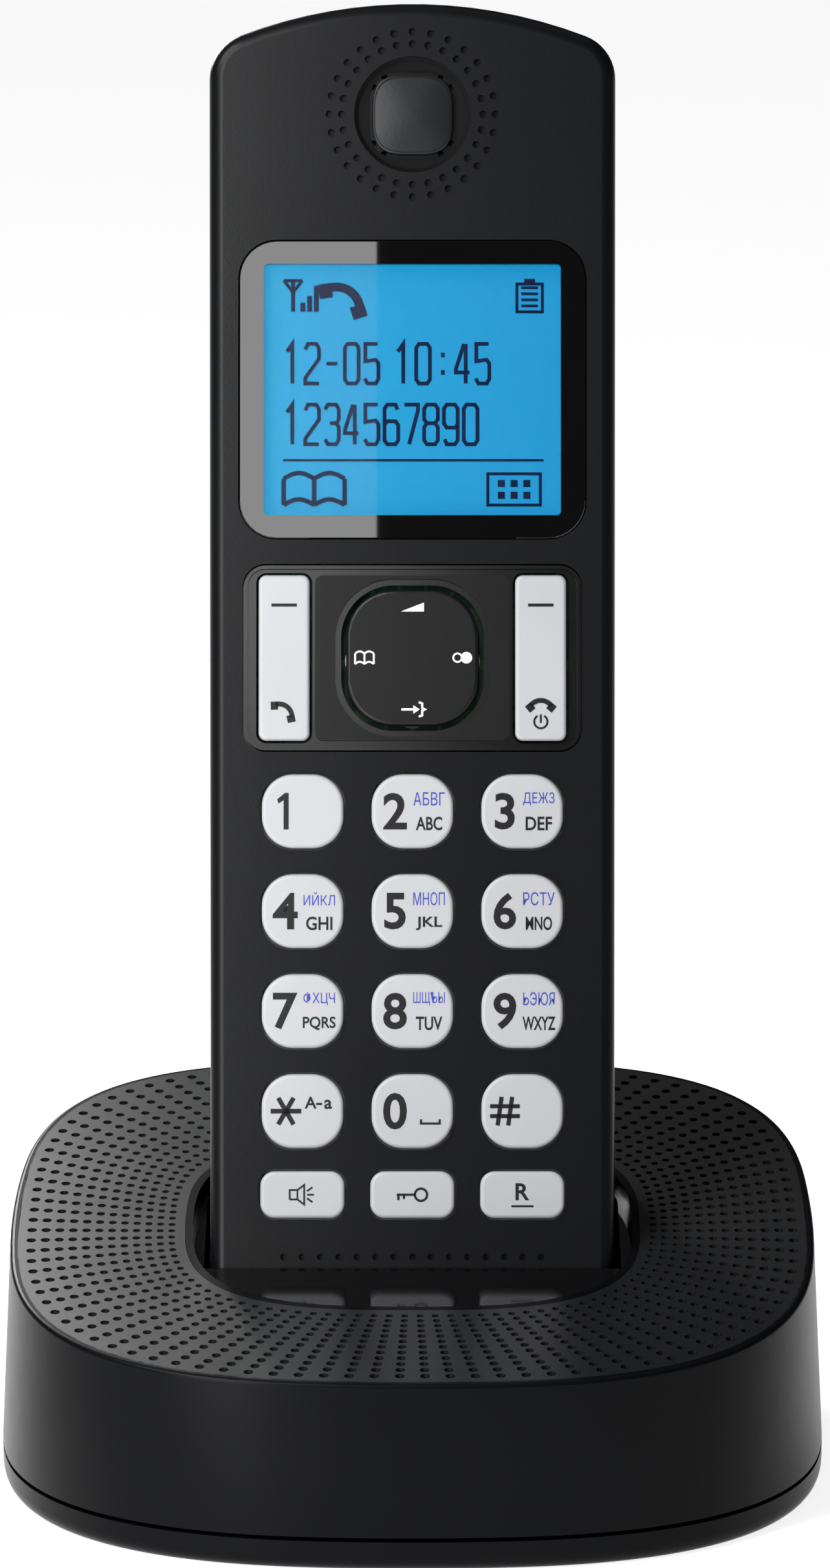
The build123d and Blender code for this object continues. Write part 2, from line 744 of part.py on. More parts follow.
with BuildPart() as handset_front_cover:
    with BuildSketch(face):
        add(handset_outline())
    extrude(amount=-parting_depth)
    fillet(faces().sort_by(face_axis)[-1].edges(), radius=front_edge_round)
    add(front_cavity.part, mode=Mode.SUBTRACT)
    # Bosses for the two screws, with pilot holes from behind
    with BuildSketch(face.offset(-handset_wall)):
        with Locations(*screw_spots):
            Circle(front_boss_diameter / 2)
    extrude(amount=handset_wall - parting_depth)
    with BuildSketch(face.offset(-parting_depth)):
        with Locations(*screw_spots):
            Circle(screw_diameter / 2 + hole_play)
    extrude(amount=parting_depth - screw_tip_depth, mode=Mode.SUBTRACT)
    # Recess for the display window, and the hole inside its ledge
    with BuildSketch(face):
        rounded_rectangles(
            window_width + 2 * window_clearance, window_height + 2 * window_clearance,
            window_corner + window_clearance, (0, window_middle),
        )
    extrude(amount=-window_thickness, mode=Mode.SUBTRACT)
    with BuildSketch(face):
        rounded_rectangles(
            window_width - 2 * window_ledge, window_height - 2 * window_ledge,
            window_corner - window_ledge, (0, window_middle),
        )
    extrude(amount=-2 * handset_wall, mode=Mode.SUBTRACT)
    # Hole for the control panel, and holes for the keys
    with BuildSketch(face):
        rounded_rectangles(
            panel_width + 2 * panel_clearance, panel_height + 2 * panel_clearance,
            panel_corner + panel_clearance, (0, panel_middle),
        )
        rounded_rectangles(
            key_width + 2 * key_clearance, key_height + 2 * key_clearance,
            key_corner + key_clearance, *number_keys.values(),
        )
        rounded_rectangles(
            function_key_width + 2 * key_clearance, function_key_height + 2 * key_clearance,
            function_key_corner + key_clearance, *function_keys.values(),
        )
    extrude(amount=-2 * handset_wall, mode=Mode.SUBTRACT)
    # Earpiece: a dish round a raised hub, sound holes in the dish, and rings of dimples
    with BuildSketch(face):
        with Locations((0, earpiece_middle)):
            Circle(dish_radius)
            RectangleRounded(hub_size, hub_size, hub_corner, mode=Mode.SUBTRACT)
    extrude(amount=-dish_depth, mode=Mode.SUBTRACT)
    with BuildSketch(face):
        with Locations((0, earpiece_middle)):
            with PolarLocations(sound_hole_radius, sound_holes):
                Circle(sound_hole_diameter / 2)
    extrude(amount=-2 * handset_wall, mode=Mode.SUBTRACT)
    with BuildSketch(face):
        with Locations((0, earpiece_middle)):
            for ring_radius in dot_radii:
                with PolarLocations(ring_radius, dots_per_ring):
                    Circle(dot_diameter / 2)
    extrude(amount=-dot_depth, mode=Mode.SUBTRACT)
    # Row of dimples over the microphone, the middle one open
    with BuildSketch(face):
        with Locations((0, mic_height)):
            with GridLocations(mic_dot_pitch, 0, mic_dots, 1):
                Circle(mic_dot_diameter / 2)
    extrude(amount=-dot_depth, mode=Mode.SUBTRACT)
    with BuildSketch(face):
        with Locations((0, mic_height)):
            Circle(mic_dot_diameter / 2)
    extrude(amount=-2 * handset_wall, mode=Mode.SUBTRACT)
finish_piece(handset_front_cover, "handset_front_cover")

# Rear cover: hollow shell with the battery bay, the door's seat and two screw tubes
rear_start = parting_depth + cover_gap
rear_inside = handset_thickness - handset_wall
with BuildPart() as rear_cavity:
    with BuildSketch(face.offset(-rear_start)):
        add(handset_outline(handset_wall))
    extrude(amount=rear_start - rear_inside)
    fillet(faces().sort_by(face_axis)[0].edges(), radius=back_edge_round - handset_wall)

with BuildPart() as bay_blocks:
    with BuildSketch(face.offset(bay_wall - bay_floor_depth)):
        rounded_rectangles(
            2 * (bay_half_width + bay_wall), bay_length + 2 * bay_wall, bay_wall, (0, bay_middle)
        )
    extrude(amount=bay_floor_depth - bay_wall - rear_inside)
    with BuildSketch(face.offset(door_seat_thickness - rear_inside)):
        rounded_rectangles(
            door_width + 2 * door_seat_reach, door_length + 2 * door_seat_reach,
            door_corner + door_seat_reach, (0, bay_middle),
        )
    extrude(amount=-door_seat_thickness)

with BuildPart() as handset_rear_cover:
    with BuildSketch(face.offset(-rear_start)):
        add(handset_outline())
    extrude(amount=rear_start - handset_thickness)
    fillet(faces().sort_by(face_axis)[0].edges(), radius=back_edge_round)
    add(rear_cavity.part, mode=Mode.SUBTRACT)
    add(bay_blocks.part)
    with BuildSketch(face.offset(-rear_start)):
        with Locations(*screw_spots):
            Circle(boss_diameter / 2)
    extrude(amount=rear_start - rear_inside)
    # Door recess and the bay's inside
    with BuildSketch(face.offset(-door_recess_depth)):
        rounded_rectangles(
            door_width + 2 * door_clearance, door_length + 2 * door_clearance,
            door_corner + door_clearance, (0, bay_middle),
        )
    extrude(amount=-handset_thickness, mode=Mode.SUBTRACT)
    with BuildSketch(face.offset(-bay_floor_depth)):
        with Locations((0, bay_middle)):
            Rectangle(2 * bay_half_width, bay_length)
    extrude(amount=-handset_thickness, mode=Mode.SUBTRACT)
    # Screw holes, with the heads' seats open to the back
    with BuildSketch(face.offset(-parting_depth)):
        with Locations(*screw_spots):
            Circle(screw_diameter / 2 + hole_play)
    extrude(amount=-handset_thickness, mode=Mode.SUBTRACT)
    with BuildSketch(face.offset(-screw_seat_depth)):
        with Locations(*screw_spots):
            Circle(screw_head_diameter / 2 + hole_play)
    extrude(amount=-handset_thickness, mode=Mode.SUBTRACT)
    # Sound holes over the ringer
    with BuildSketch(face.offset(-rear_inside + handset_wall)):
        with Locations((0, ringer_middle)):
            Circle(grille_hole_diameter / 2)
            for share in (1, 2):
                with PolarLocations(grille_radius * share / 2, grille_holes * share // 2):
                    Circle(grille_hole_diameter / 2)
    extrude(amount=-handset_thickness, mode=Mode.SUBTRACT)
    # Recesses in the foot for the charging plates
    with BuildSketch(foot):
        rounded_rectangles(plate_width + hole_play, plate_length + hole_play, plate_corner, *contact_spots)
    extrude(amount=plate_thickness + hole_play / 2, mode=Mode.SUBTRACT)
finish_piece(handset_rear_cover, "handset_rear_cover")

with BuildPart() as battery_door:
    with BuildSketch(face.offset(-handset_thickness)):
        rounded_rectangles(door_width, door_length, door_corner, (0, bay_middle))
    extrude(amount=door_thickness)
    # Thumb grooves near the upper end
    with BuildSketch(face.offset(-handset_thickness)):
        with Locations((0, bay_middle + door_length / 2 - grip_count * grip_pitch)):
            with GridLocations(0, grip_pitch, 1, grip_count):
                Rectangle(grip_width, grip_pitch / 2)
    extrude(amount=grip_depth, mode=Mode.SUBTRACT)
finish_piece(battery_door, "battery_door")

with BuildPart() as handset_screws:
    with BuildSketch(face.offset(-screw_seat_depth)):
        with Locations(*screw_spots):
            Circle(screw_head_diameter / 2)
    extrude(amount=-screw_head_thickness)
    with BuildSketch(face.offset(-screw_seat_depth)):
        with Locations(*screw_spots):
            Circle(screw_diameter / 2)
    extrude(amount=screw_seat_depth - screw_tip_depth - 2 * hole_play)
    with BuildSketch(face.offset(-screw_seat_depth - screw_head_thickness)):
        with Locations(*screw_spots):
            Rectangle(screw_head_diameter * cross_recess_share, cross_recess_width)
            Rectangle(cross_recess_width, screw_head_diameter * cross_recess_share)
    extrude(amount=screw_head_thickness / 2, mode=Mode.SUBTRACT)
finish_piece(handset_screws, "handset_screws")

with BuildPart() as handset_charge_plates:
    with BuildSketch(foot):
        rounded_rectangles(plate_width, plate_length, plate_corner, *contact_spots)
    extrude(amount=plate_thickness)
finish_piece(handset_charge_plates, "handset_charge_plates")

# ================================================================ display
with BuildPart() as lcd_window:
    with BuildSketch(face.offset(window_rise)):
        rounded_rectangles(window_width, window_height, window_corner, (0, window_middle))
    extrude(amount=-window_thickness - window_rise)
    chamfer(faces().sort_by(face_axis)[-1].edges(), length=window_rise)
finish_piece(lcd_window, "lcd_window")

with BuildPart() as lcd_module:
    with BuildSketch(face.offset(-lcd_depth)):
        rounded_rectangles(lcd_width, lcd_height, lcd_corner, (0, window_middle))
    extrude(amount=-lcd_thickness)
finish_piece(lcd_module, "lcd_module")

with BuildPart() as lcd_holder:
    with BuildSketch(face.offset(-lcd_depth - lcd_thickness)):
        rounded_rectangles(lcd_width, lcd_height, lcd_corner, (0, window_middle))
        with Locations((0, window_middle)):
            Rectangle(
                lcd_width - 2 * lcd_frame_width, lcd_height - 2 * lcd_frame_width, mode=Mode.SUBTRACT
            )
    extrude(amount=lcd_depth + lcd_thickness - board_depth)
finish_piece(lcd_holder, "lcd_holder")

# ================================================================ control panel
bezel_underside = handset_wall + key_flange_gap
nav_opening_width = nav_width + 2 * nav_clearance
nav_opening_height = nav_height + 2 * nav_clearance
nav_opening_corner = nav_corner + nav_clearance
with BuildPart() as control_bezel:
    with BuildSketch(face):
        rounded_rectangles(panel_width, panel_height, panel_corner, (0, panel_middle))
    extrude(amount=-bezel_underside)
    with BuildSketch(face.offset(-bezel_underside)):
        rounded_rectangles(
            panel_width + 2 * panel_flange_reach, panel_height + 2 * panel_flange_reach,
            panel_corner + panel_flange_reach, (0, panel_middle),
        )
    extrude(amount=-panel_flange_thickness)
    # Sunk gloss floor inside a thin rim
    with BuildSketch(face):
        rounded_rectangles(
            panel_width - panel_clearance * 4, panel_height - panel_clearance * 4,
            panel_corner - panel_clearance * 2, (0, panel_middle),
        )
    extrude(amount=-panel_floor_depth, mode=Mode.SUBTRACT)
    with BuildSketch(face):
        rounded_rectangles(
            bar_width + 2 * bar_clearance, bar_height + 2 * bar_clearance,
            bar_corner + bar_clearance, *[(spot, panel_middle) for spot in bar_keys.values()],
        )
        rounded_rectangles(
            nav_opening_width, nav_opening_height, nav_opening_corner, (0, panel_middle)
        )
    extrude(amount=-2 * bezel_underside, mode=Mode.SUBTRACT)
finish_piece(control_bezel, "control_bezel")

inlay_width = 2 * (bar_spot - bar_width / 2 - bar_clearance - inlay_gap)
with BuildPart() as control_inlay:
    with BuildSketch(face.offset(-panel_clearance / 2)):
        rounded_rectangles(inlay_width, bar_height, bar_corner, (0, panel_middle))
        with Locations((0, panel_middle)):
            RectangleRounded(
                nav_width + 2 * nav_ring, nav_height + 2 * nav_ring, nav_corner + nav_ring,
                mode=Mode.SUBTRACT,
            )
    extrude(amount=panel_clearance / 2 - panel_floor_depth)
finish_piece(control_inlay, "control_inlay")

for name, spot in bar_keys.items():
    with BuildPart() as bar_key:
        with BuildSketch(face.offset(bar_rise)):
            rounded_rectangles(bar_width, bar_height, bar_corner, (spot, panel_middle))
        extrude(amount=-bar_rise - bar_underside)
        fillet(faces().sort_by(face_axis)[-1].edges(), radius=key_edge_round)
        with BuildSketch(face.offset(-bar_underside)):
            with Locations((spot, panel_middle)):
                with GridLocations(0, 2 * bar_plunger_spot, 1, 2):
                    Circle(bar_plunger_diameter / 2)
        extrude(amount=bar_underside - key_stem_end)
    finish_piece(bar_key, name)

with BuildPart() as nav_key:
    with BuildSketch(face.offset(nav_rise)):
        rounded_rectangles(nav_width, nav_height, nav_corner, (0, panel_middle))
    extrude(amount=-nav_rise - nav_underside)
    fillet(faces().sort_by(face_axis)[-1].edges(), radius=key_edge_round)
    with BuildSketch(face.offset(-nav_underside)):
        with Locations((0, panel_middle)):
            Circle(nav_stem_diameter / 2)
        with Locations(*nav_plungers):
            Circle(nav_plunger_diameter / 2)
    extrude(amount=nav_underside - key_stem_end)
finish_piece(nav_key, "nav_key")

with BuildPart() as nav_pivot:
    with BuildSketch(face.offset(pivot_thickness / 2 - pivot_depth)):
        with Locations((0, panel_middle)):
            Circle(pivot_outer_diameter / 2)
            Circle(pivot_bore_diameter / 2, mode=Mode.SUBTRACT)
    extrude(amount=-pivot_thickness)
finish_piece(nav_pivot, "nav_pivot")

# ================================================================ keys
def make_key(name, spot, width, height, corner):
    """One key cap on its flange, with the stem that presses the board's dome."""
    with BuildPart() as key:
        with BuildSketch(face.offset(key_rise)):
            rounded_rectangles(width, height, corner, spot)
        extrude(amount=-key_rise - key_flange_depth)
        fillet(faces().sort_by(face_axis)[-1].edges(), radius=key_edge_round)
        with BuildSketch(face.offset(-key_flange_depth)):
            rounded_rectangles(
                width + 2 * key_flange_reach, height + 2 * key_flange_reach,
                corner + key_flange_reach, spot,
            )
        extrude(amount=-key_flange_thickness)
        with BuildSketch(face.offset(-key_flange_depth - key_flange_thickness)):
            with Locations(spot):
                Circle(key_stem_diameter / 2)
        extrude(amount=key_flange_depth + key_flange_thickness - key_stem_end)
    finish_piece(key, name)


for name, spot in number_keys.items():
    make_key(name, spot, key_width, key_height, key_corner)
for name, spot in function_keys.items():
    make_key(name, spot, function_key_width, function_key_height, function_key_corner)

# ================================================================ inside the handset
with BuildPart() as handset_board:
    with BuildSketch(face.offset(-board_depth)):
        with Locations((0, (board_foot + board_top) / 2)):
            RectangleRounded(2 * board_half_width, board_top - board_foot, crown_corner)
    extrude(amount=-board_thickness)
finish_piece(handset_board, "handset_board")

sheet_low = board_foot + sheet_foot_gap
sheet_high = number_rows[-1] + key_height / 2 + key_flange_reach
with BuildPart() as keypad_sheet:
    with BuildSketch(face.offset(sheet_thickness - board_depth)):
        with Locations((0, (sheet_low + sheet_high) / 2)):
            RectangleRounded(2 * (key_pitch + key_width / 2), sheet_high - sheet_low, sheet_corner)
        with Locations(*number_keys.values(), *function_keys.values()):
            Circle(sheet_hole_diameter / 2, mode=Mode.SUBTRACT)
    extrude(amount=-sheet_thickness)
finish_piece(keypad_sheet, "keypad_sheet")

with BuildPart() as key_domes:
    with BuildSketch(face.offset(dome_thickness - board_depth)):
        with Locations(*dome_spots):
            Circle(dome_diameter / 2)
    extrude(amount=-dome_thickness)
finish_piece(key_domes, "key_domes")

with BuildPart() as handset_radio_shield:
    with BuildSketch(face.offset(-board_depth - board_thickness)):
        rounded_rectangles(shield_width, shield_length, shield_corner, (0, window_middle))
    extrude(amount=-shield_thickness)
finish_piece(handset_radio_shield, "handset_radio_shield")

with BuildPart() as earpiece_gasket:
    with BuildSketch(face.offset(-handset_wall)):
        with Locations((0, earpiece_middle)):
            Circle(speaker_diameter / 2)
            Circle(speaker_diameter / 2 - gasket_width, mode=Mode.SUBTRACT)
    extrude(amount=-gasket_thickness)
finish_piece(earpiece_gasket, "earpiece_gasket")

with BuildPart() as earpiece_speaker:
    with BuildSketch(face.offset(-handset_wall - gasket_thickness)):
        with Locations((0, earpiece_middle)):
            Circle(speaker_diameter / 2)
    extrude(amount=-speaker_thickness)
    fillet(faces().sort_by(face_axis)[0].edges(), radius=speaker_edge_round)
finish_piece(earpiece_speaker, "earpiece_speaker")

with BuildPart() as microphone_boot:
    with BuildSketch(face.offset(-handset_wall)):
        with Locations((0, mic_height)):
            Circle(mic_diameter / 2 + mic_boot_wall)
            Circle(mic_diameter / 2, mode=Mode.SUBTRACT)
    extrude(amount=-mic_thickness)
finish_piece(microphone_boot, "microphone_boot")

with BuildPart() as microphone:
    with BuildSketch(face.offset(-handset_wall)):
        with Locations((0, mic_height)):
            Circle(mic_diameter / 2)
    extrude(amount=-mic_thickness)
finish_piece(microphone, "microphone")

with BuildPart() as ringer_speaker:
    with BuildSketch(face.offset(-rear_inside)):
        with Locations((0, ringer_middle)):
            Circle(ringer_diameter / 2)
    extrude(amount=ringer_thickness)
finish_piece(ringer_speaker, "ringer_speaker")

cell_foot = bay_foot + contact_space
cell_spots = [(side * (cell_diameter + cell_gap) / 2, -cell_depth) for side in (-1, 1)]
bay_section = Plane(
    origin=face.from_local_coords((0, cell_foot, 0)), x_dir=(1, 0, 0), z_dir=(0, up_y, up_z)
)
with BuildPart() as battery_cells:
    with BuildSketch(bay_section):
        with Locations(*[(x, -depth) for x, depth in cell_spots]):
            Circle(cell_diameter / 2)
    extrude(amount=cell_length)
    fillet(edges().filter_by(GeomType.CIRCLE), radius=cell_edge_round)
finish_piece(battery_cells, "battery_cells")

# Sheet-metal contacts at both ends of the bay, pressed on the cells by their bent tongues
with BuildPart() as battery_contacts:
    for low in (bay_foot, bay_foot + bay_length - contact_thickness):
        with BuildSketch(face.offset(-bay_floor_depth - cell_play)):
            with Locations((0, low + contact_thickness / 2)):
                Rectangle(2 * bay_half_width - 2 * hole_play, contact_thickness)
        extrude(amount=-cell_diameter)
    for low in (bay_foot + contact_thickness, bay_foot + bay_length - contact_space):
        with BuildSketch(face.offset(-cell_depth + cell_diameter / 4)):
            with Locations(*[(x, low + (contact_space - contact_thickness) / 2) for x, _ in cell_spots]):
                Rectangle(cell_diameter / 2, contact_space - contact_thickness)
        extrude(amount=-cell_diameter / 2)
finish_piece(battery_contacts, "battery_contacts")

print(f"handset length {handset_length:.1f}, foot at y {foot_y:.2f} z {foot_z:.2f}")
print(f"pieces {len(parts)}")
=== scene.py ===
"""Cordless phone: a slim handset leaning back in a low charging base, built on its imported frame."""

import json
from math import cos, pi, radians, sin, tan

import bpy
import numpy as np
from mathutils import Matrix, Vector
from mathutils.geometry import tessellate_polygon


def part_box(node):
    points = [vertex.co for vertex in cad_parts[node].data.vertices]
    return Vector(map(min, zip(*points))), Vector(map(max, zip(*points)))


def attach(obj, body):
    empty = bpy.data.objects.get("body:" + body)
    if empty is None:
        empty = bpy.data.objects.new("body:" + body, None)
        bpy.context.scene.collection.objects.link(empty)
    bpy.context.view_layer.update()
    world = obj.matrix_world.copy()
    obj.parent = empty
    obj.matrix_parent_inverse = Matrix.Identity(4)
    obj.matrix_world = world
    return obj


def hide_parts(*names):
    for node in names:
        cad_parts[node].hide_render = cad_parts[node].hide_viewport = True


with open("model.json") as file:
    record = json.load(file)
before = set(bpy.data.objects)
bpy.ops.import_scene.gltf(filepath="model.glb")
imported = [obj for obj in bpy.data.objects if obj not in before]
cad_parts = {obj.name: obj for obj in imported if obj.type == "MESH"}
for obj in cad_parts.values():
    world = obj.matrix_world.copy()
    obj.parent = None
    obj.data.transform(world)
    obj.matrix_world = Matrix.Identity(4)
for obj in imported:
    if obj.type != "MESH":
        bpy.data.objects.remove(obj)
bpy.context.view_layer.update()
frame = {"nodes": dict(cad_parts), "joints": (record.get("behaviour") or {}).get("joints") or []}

# ---------------------------------------------------------------------------
# The dotted top ring: a satin black plate let into the sloping top of the base, moulded with
# rows of small round dimples that run out from the cradle opening in straight lines.
MM = 0.001
RING_SLOPE = tan(radians(9.0))
RIM_WIDTH = 0.9 * MM             # housing's edge left standing round the plate
WALL_TOP_HEIGHT = 40.0 * MM      # where the wall's upper outline is drawn
WALL_TOP_INSET = 1.8 * MM
WALL_FOOT_ROUNDNESS = 2.65
WALL_TOP_ROUNDNESS = 3.3
OPENING_ROUNDNESS = 3.0
PLATE_THICKNESS = 1.0 * MM
DOT_ROWS = 12
DOT_LINES = 104
DOT_RADIUS_INNER = 0.42 * MM
DOT_RADIUS_OUTER = 0.58 * MM
DOT_DEPTH = 0.62 * MM
SMOOTH_INNER = 0.9 * MM          # plain border inside the first row
SMOOTH_OUTER = 0.75 * MM
ROW_GROWTH = 1.25                # outer row's pitch over the inner row's
CELL = 8                         # grid steps across one dimple's cell
PAINTED_SHADE_LEVELS = 2                  # grid steps from a dimple's middle that the painted shade covers
EDGE_POINTS = 3601
NEAR_OPENING = 0.8               # share of the plate's half width that holds only the opening's edge
RING_RADII = np.array([0.0, 0.8, 1.0, 1.22])     # floor's middle, floor's edge, rim, land round it
RING_DEPTHS = np.array([1.0, 1.0, 0.0, 0.0])


def mesh_object(name, points, faces, materials=(), smooth=False, face_slots=None):
    """A mesh object at the origin from an (n, 3) array of points and the faces' corner numbers."""
    mesh = bpy.data.meshes.new(name)
    mesh.from_pydata(np.asarray(points).tolist(), [], faces if isinstance(faces, list) else faces.tolist())
    for material in materials:
        mesh.materials.append(material)
    mesh.polygons.foreach_set("use_smooth", np.full(len(mesh.polygons), smooth))
    if face_slots is not None:
        mesh.polygons.foreach_set("material_index", np.asarray(face_slots, dtype=np.int32))
    mesh.update()
    piece = bpy.data.objects.new(name, mesh)
    bpy.context.scene.collection.objects.link(piece)
    return piece


def grid_faces(rows, columns, closed_rows=False, closed_columns=True):
    """Quads joining a rows x columns grid of points, either way closed on itself if asked."""
    row = np.arange(rows if closed_rows else rows - 1)[:, None]
    column = np.arange(columns if closed_columns else columns - 1)[None, :]
    below, after = (row + 1) % rows, (column + 1) % columns
    this_row, next_row = row * columns, below * columns
    corners = (this_row + column, next_row + column, next_row + after, this_row + after)
    return np.stack(corners, axis=-1).reshape(-1, 4)


def node(name):
    """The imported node's own vertices, in metres."""
    mesh = frame["nodes"][name].data
    flat = np.empty(3 * len(mesh.vertices))
    mesh.vertices.foreach_get("co", flat)
    return flat.reshape(-1, 3)


def moulded(name, colour, roughness, grain=0.0, grain_size=0.0004, mottle=0.08, specular=0.5, coat=0.0):
    """Moulded plastic: fine spark-eroded grain as bump, and slow drifts in colour and gloss."""
    material = bpy.data.materials.new(name)
    material.use_nodes = True
    nodes, links = material.node_tree.nodes, material.node_tree.links
    shader = nodes["Principled BSDF"]
    place = nodes.new("ShaderNodeTexCoord")
    drift = nodes.new("ShaderNodeTexNoise")
    drift.inputs["Scale"].default_value = 60
    drift.inputs["Detail"].default_value = 4
    links.new(place.outputs["Object"], drift.inputs["Vector"])
    tint = nodes.new("ShaderNodeValToRGB")
    tint.color_ramp.elements[0].position, tint.color_ramp.elements[1].position = 0.3, 0.7
    tint.color_ramp.elements[0].color = (*[c * (1 - mottle) for c in colour], 1)
    tint.color_ramp.elements[1].color = (*[min(1, c * (1 + mottle)) for c in colour], 1)
    links.new(drift.outputs["Fac"], tint.inputs["Fac"])
    links.new(tint.outputs["Color"], shader.inputs["Base Color"])
    rough = nodes.new("ShaderNodeMapRange")
    rough.inputs["To Min"].default_value = roughness * 0.92
    rough.inputs["To Max"].default_value = min(1, roughness * 1.08)
    links.new(drift.outputs["Fac"], rough.inputs["Value"])
    links.new(rough.outputs["Result"], shader.inputs["Roughness"])
    shader.inputs["Specular IOR Level"].default_value = specular
    shader.inputs["Coat Weight"].default_value = coat
    shader.inputs["Coat Roughness"].default_value = 0.03
    if grain:
        pits = nodes.new("ShaderNodeTexNoise")
        pits.inputs["Scale"].default_value = 1 / grain_size
        pits.inputs["Detail"].default_value = 2
        links.new(place.outputs["Object"], pits.inputs["Vector"])
        bump = nodes.new("ShaderNodeBump")
        bump.inputs["Strength"].default_value = grain
        bump.inputs["Distance"].default_value = grain_size / 4
        links.new(pits.outputs["Fac"], bump.inputs["Height"])
        links.new(bump.outputs["Normal"], shader.inputs["Normal"])
    return material


def superellipse(half_x, half_y, exponent, angle):
    """Edge of |x/a|^n + |y/b|^n = 1, by an angle that starts at the front and turns to the right."""
    across, along = np.sin(angle), -np.cos(angle)
    x = half_x * np.abs(across) ** (2 / exponent) * np.sign(across)
    y = half_y * np.abs(along) ** (2 / exponent) * np.sign(along)
    return np.stack([x, y], axis=-1)


def by_length(outline, shares):
    """Points of a closed outline at equal shares of its length, starting from its first point."""
    steps = np.hypot(*np.diff(outline, axis=0).T)
    length = np.concatenate([[0], np.cumsum(steps)]) / steps.sum()
    return np.stack([np.interp(shares, length, outline[:, axis]) for axis in (0, 1)], axis=-1)


plate = node("base_top_ring")
plate_top = (plate[:, 2] - RING_SLOPE * plate[:, 1]).max()
inner_edge = plate[np.hypot(plate[:, 0], plate[:, 1]) < NEAR_OPENING * plate[:, 0].max()]
opening_low, opening_high = inner_edge.min(axis=0), inner_edge.max(axis=0)
housing_low, housing_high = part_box("base_upper_housing")
angles = np.linspace(0, 2 * pi, EDGE_POINTS)
foot_edge = superellipse(housing_high.x - RIM_WIDTH, housing_high.y - RIM_WIDTH, WALL_FOOT_ROUNDNESS, angles)
top_edge = superellipse(
    housing_high.x - RIM_WIDTH - WALL_TOP_INSET, housing_high.y - RIM_WIDTH - WALL_TOP_INSET,
    WALL_TOP_ROUNDNESS, angles,
)
# Where each straight line up the wall meets the sloping top
wall_rise = WALL_TOP_HEIGHT - housing_low.z
meets = (plate_top - housing_low.z + RING_SLOPE * foot_edge[:, 1]) / (
    wall_rise - RING_SLOPE * (top_edge[:, 1] - foot_edge[:, 1])
)
outer_edge = foot_edge + meets[:, None] * (top_edge - foot_edge)
opening_half_depth = (opening_high[1] - opening_low[1]) / 2
opening_edge = superellipse(opening_high[0], opening_half_depth, OPENING_ROUNDNESS, angles)
opening_edge[:, 1] += (opening_high[1] + opening_low[1]) / 2

columns = DOT_LINES * CELL
shares = np.arange(columns) / columns
inside, outside = by_length(opening_edge, shares), by_length(outer_edge, shares)
reach = np.linalg.norm(outside - inside, axis=1)
row_pitch = ROW_GROWTH ** (np.arange(DOT_ROWS) / (DOT_ROWS - 1))
row_edge = np.concatenate([[0], np.cumsum(row_pitch)]) / row_pitch.sum()
fine_rows = np.interp(np.arange(DOT_ROWS * CELL + 1) / CELL, np.arange(DOT_ROWS + 1), row_edge)
first, last = SMOOTH_INNER / reach, 1 - SMOOTH_OUTER / reach
across_ring = first + fine_rows[:, None] * (last - first)
land = inside + across_ring[..., None] * (outside - inside)

# Inside each cell the square grid turns into circles: level 0 is the middle, level 4 the cell's edge
step_row = (np.arange(DOT_ROWS * CELL + 1) % CELL - CELL // 2)[:, None] + np.zeros((1, columns), int)
step_line = (np.arange(columns) % CELL - CELL // 2)[None, :] + np.zeros((DOT_ROWS * CELL + 1, 1), int)
level = np.maximum(abs(step_row), abs(step_line))
in_dot = level < CELL // 2
wide, tall = step_line.astype(float), step_row.astype(float)
sideways = abs(wide) >= abs(tall)
turn = np.where(
    sideways,
    pi / 4 * tall / np.where(wide == 0, 1, wide) + np.where(wide < 0, pi, 0),
    pi / 2 - pi / 4 * wide / np.where(tall == 0, 1, tall) + np.where(tall < 0, pi, 0),
)
row_number = np.minimum(np.arange(DOT_ROWS * CELL + 1) // CELL, DOT_ROWS - 1)
middle_row = row_number * CELL + CELL // 2
middle_line = np.arange(columns) // CELL * CELL + CELL // 2
middles = land[middle_row[:, None], middle_line[None, :]]
outwards = (outside - inside)[middle_line]
outwards = outwards / np.linalg.norm(outwards, axis=1, keepdims=True)
sidewards = np.stack([-outwards[:, 1], outwards[:, 0]], axis=-1)
dot_radius = DOT_RADIUS_INNER + (DOT_RADIUS_OUTER - DOT_RADIUS_INNER) * row_number / (DOT_ROWS - 1)
radius = dot_radius[:, None] * RING_RADII[np.minimum(level, len(RING_RADII) - 1)]
circled = middles + radius[..., None] * (
    np.cos(turn)[..., None] * sidewards + np.sin(turn)[..., None] * outwards
)
land = np.where(in_dot[..., None], circled, land)
sink = np.where(in_dot, DOT_DEPTH * RING_DEPTHS[np.minimum(level, len(RING_DEPTHS) - 1)], 0)
plan = np.concatenate([inside[None], inside[None], land, outside[None], outside[None]])
under = np.zeros(plan.shape[:2])
under[0] = under[-1] = PLATE_THICKNESS
under[2:-2] = sink
ring_points = np.dstack([plan, plate_top + RING_SLOPE * plan[..., 1] - under])
quads = grid_faces(len(plan), columns, closed_rows=True)
# Painted shade: the dimples' walls and floors take a darker, less glossy black than the land round them, for
# the shadow inside each dimple.
in_painted_shade = np.zeros(plan.shape[:2], bool)
in_painted_shade[2:-2] = level <= PAINTED_SHADE_LEVELS
painted_shade_faces = in_painted_shade.reshape(-1)[quads].all(axis=1)
satin_black = moulded(
    "ring_satin_black", (0.0075, 0.0080, 0.0090), 0.34, grain=0.12, grain_size=0.0003, specular=0.5
)
# The same black plastic as the land, painted darker as painted shade inside the dimples.
dimple_painted_shade = moulded("dimple_painted_shade", (0.004, 0.004, 0.0045), 0.6, specular=0.12)
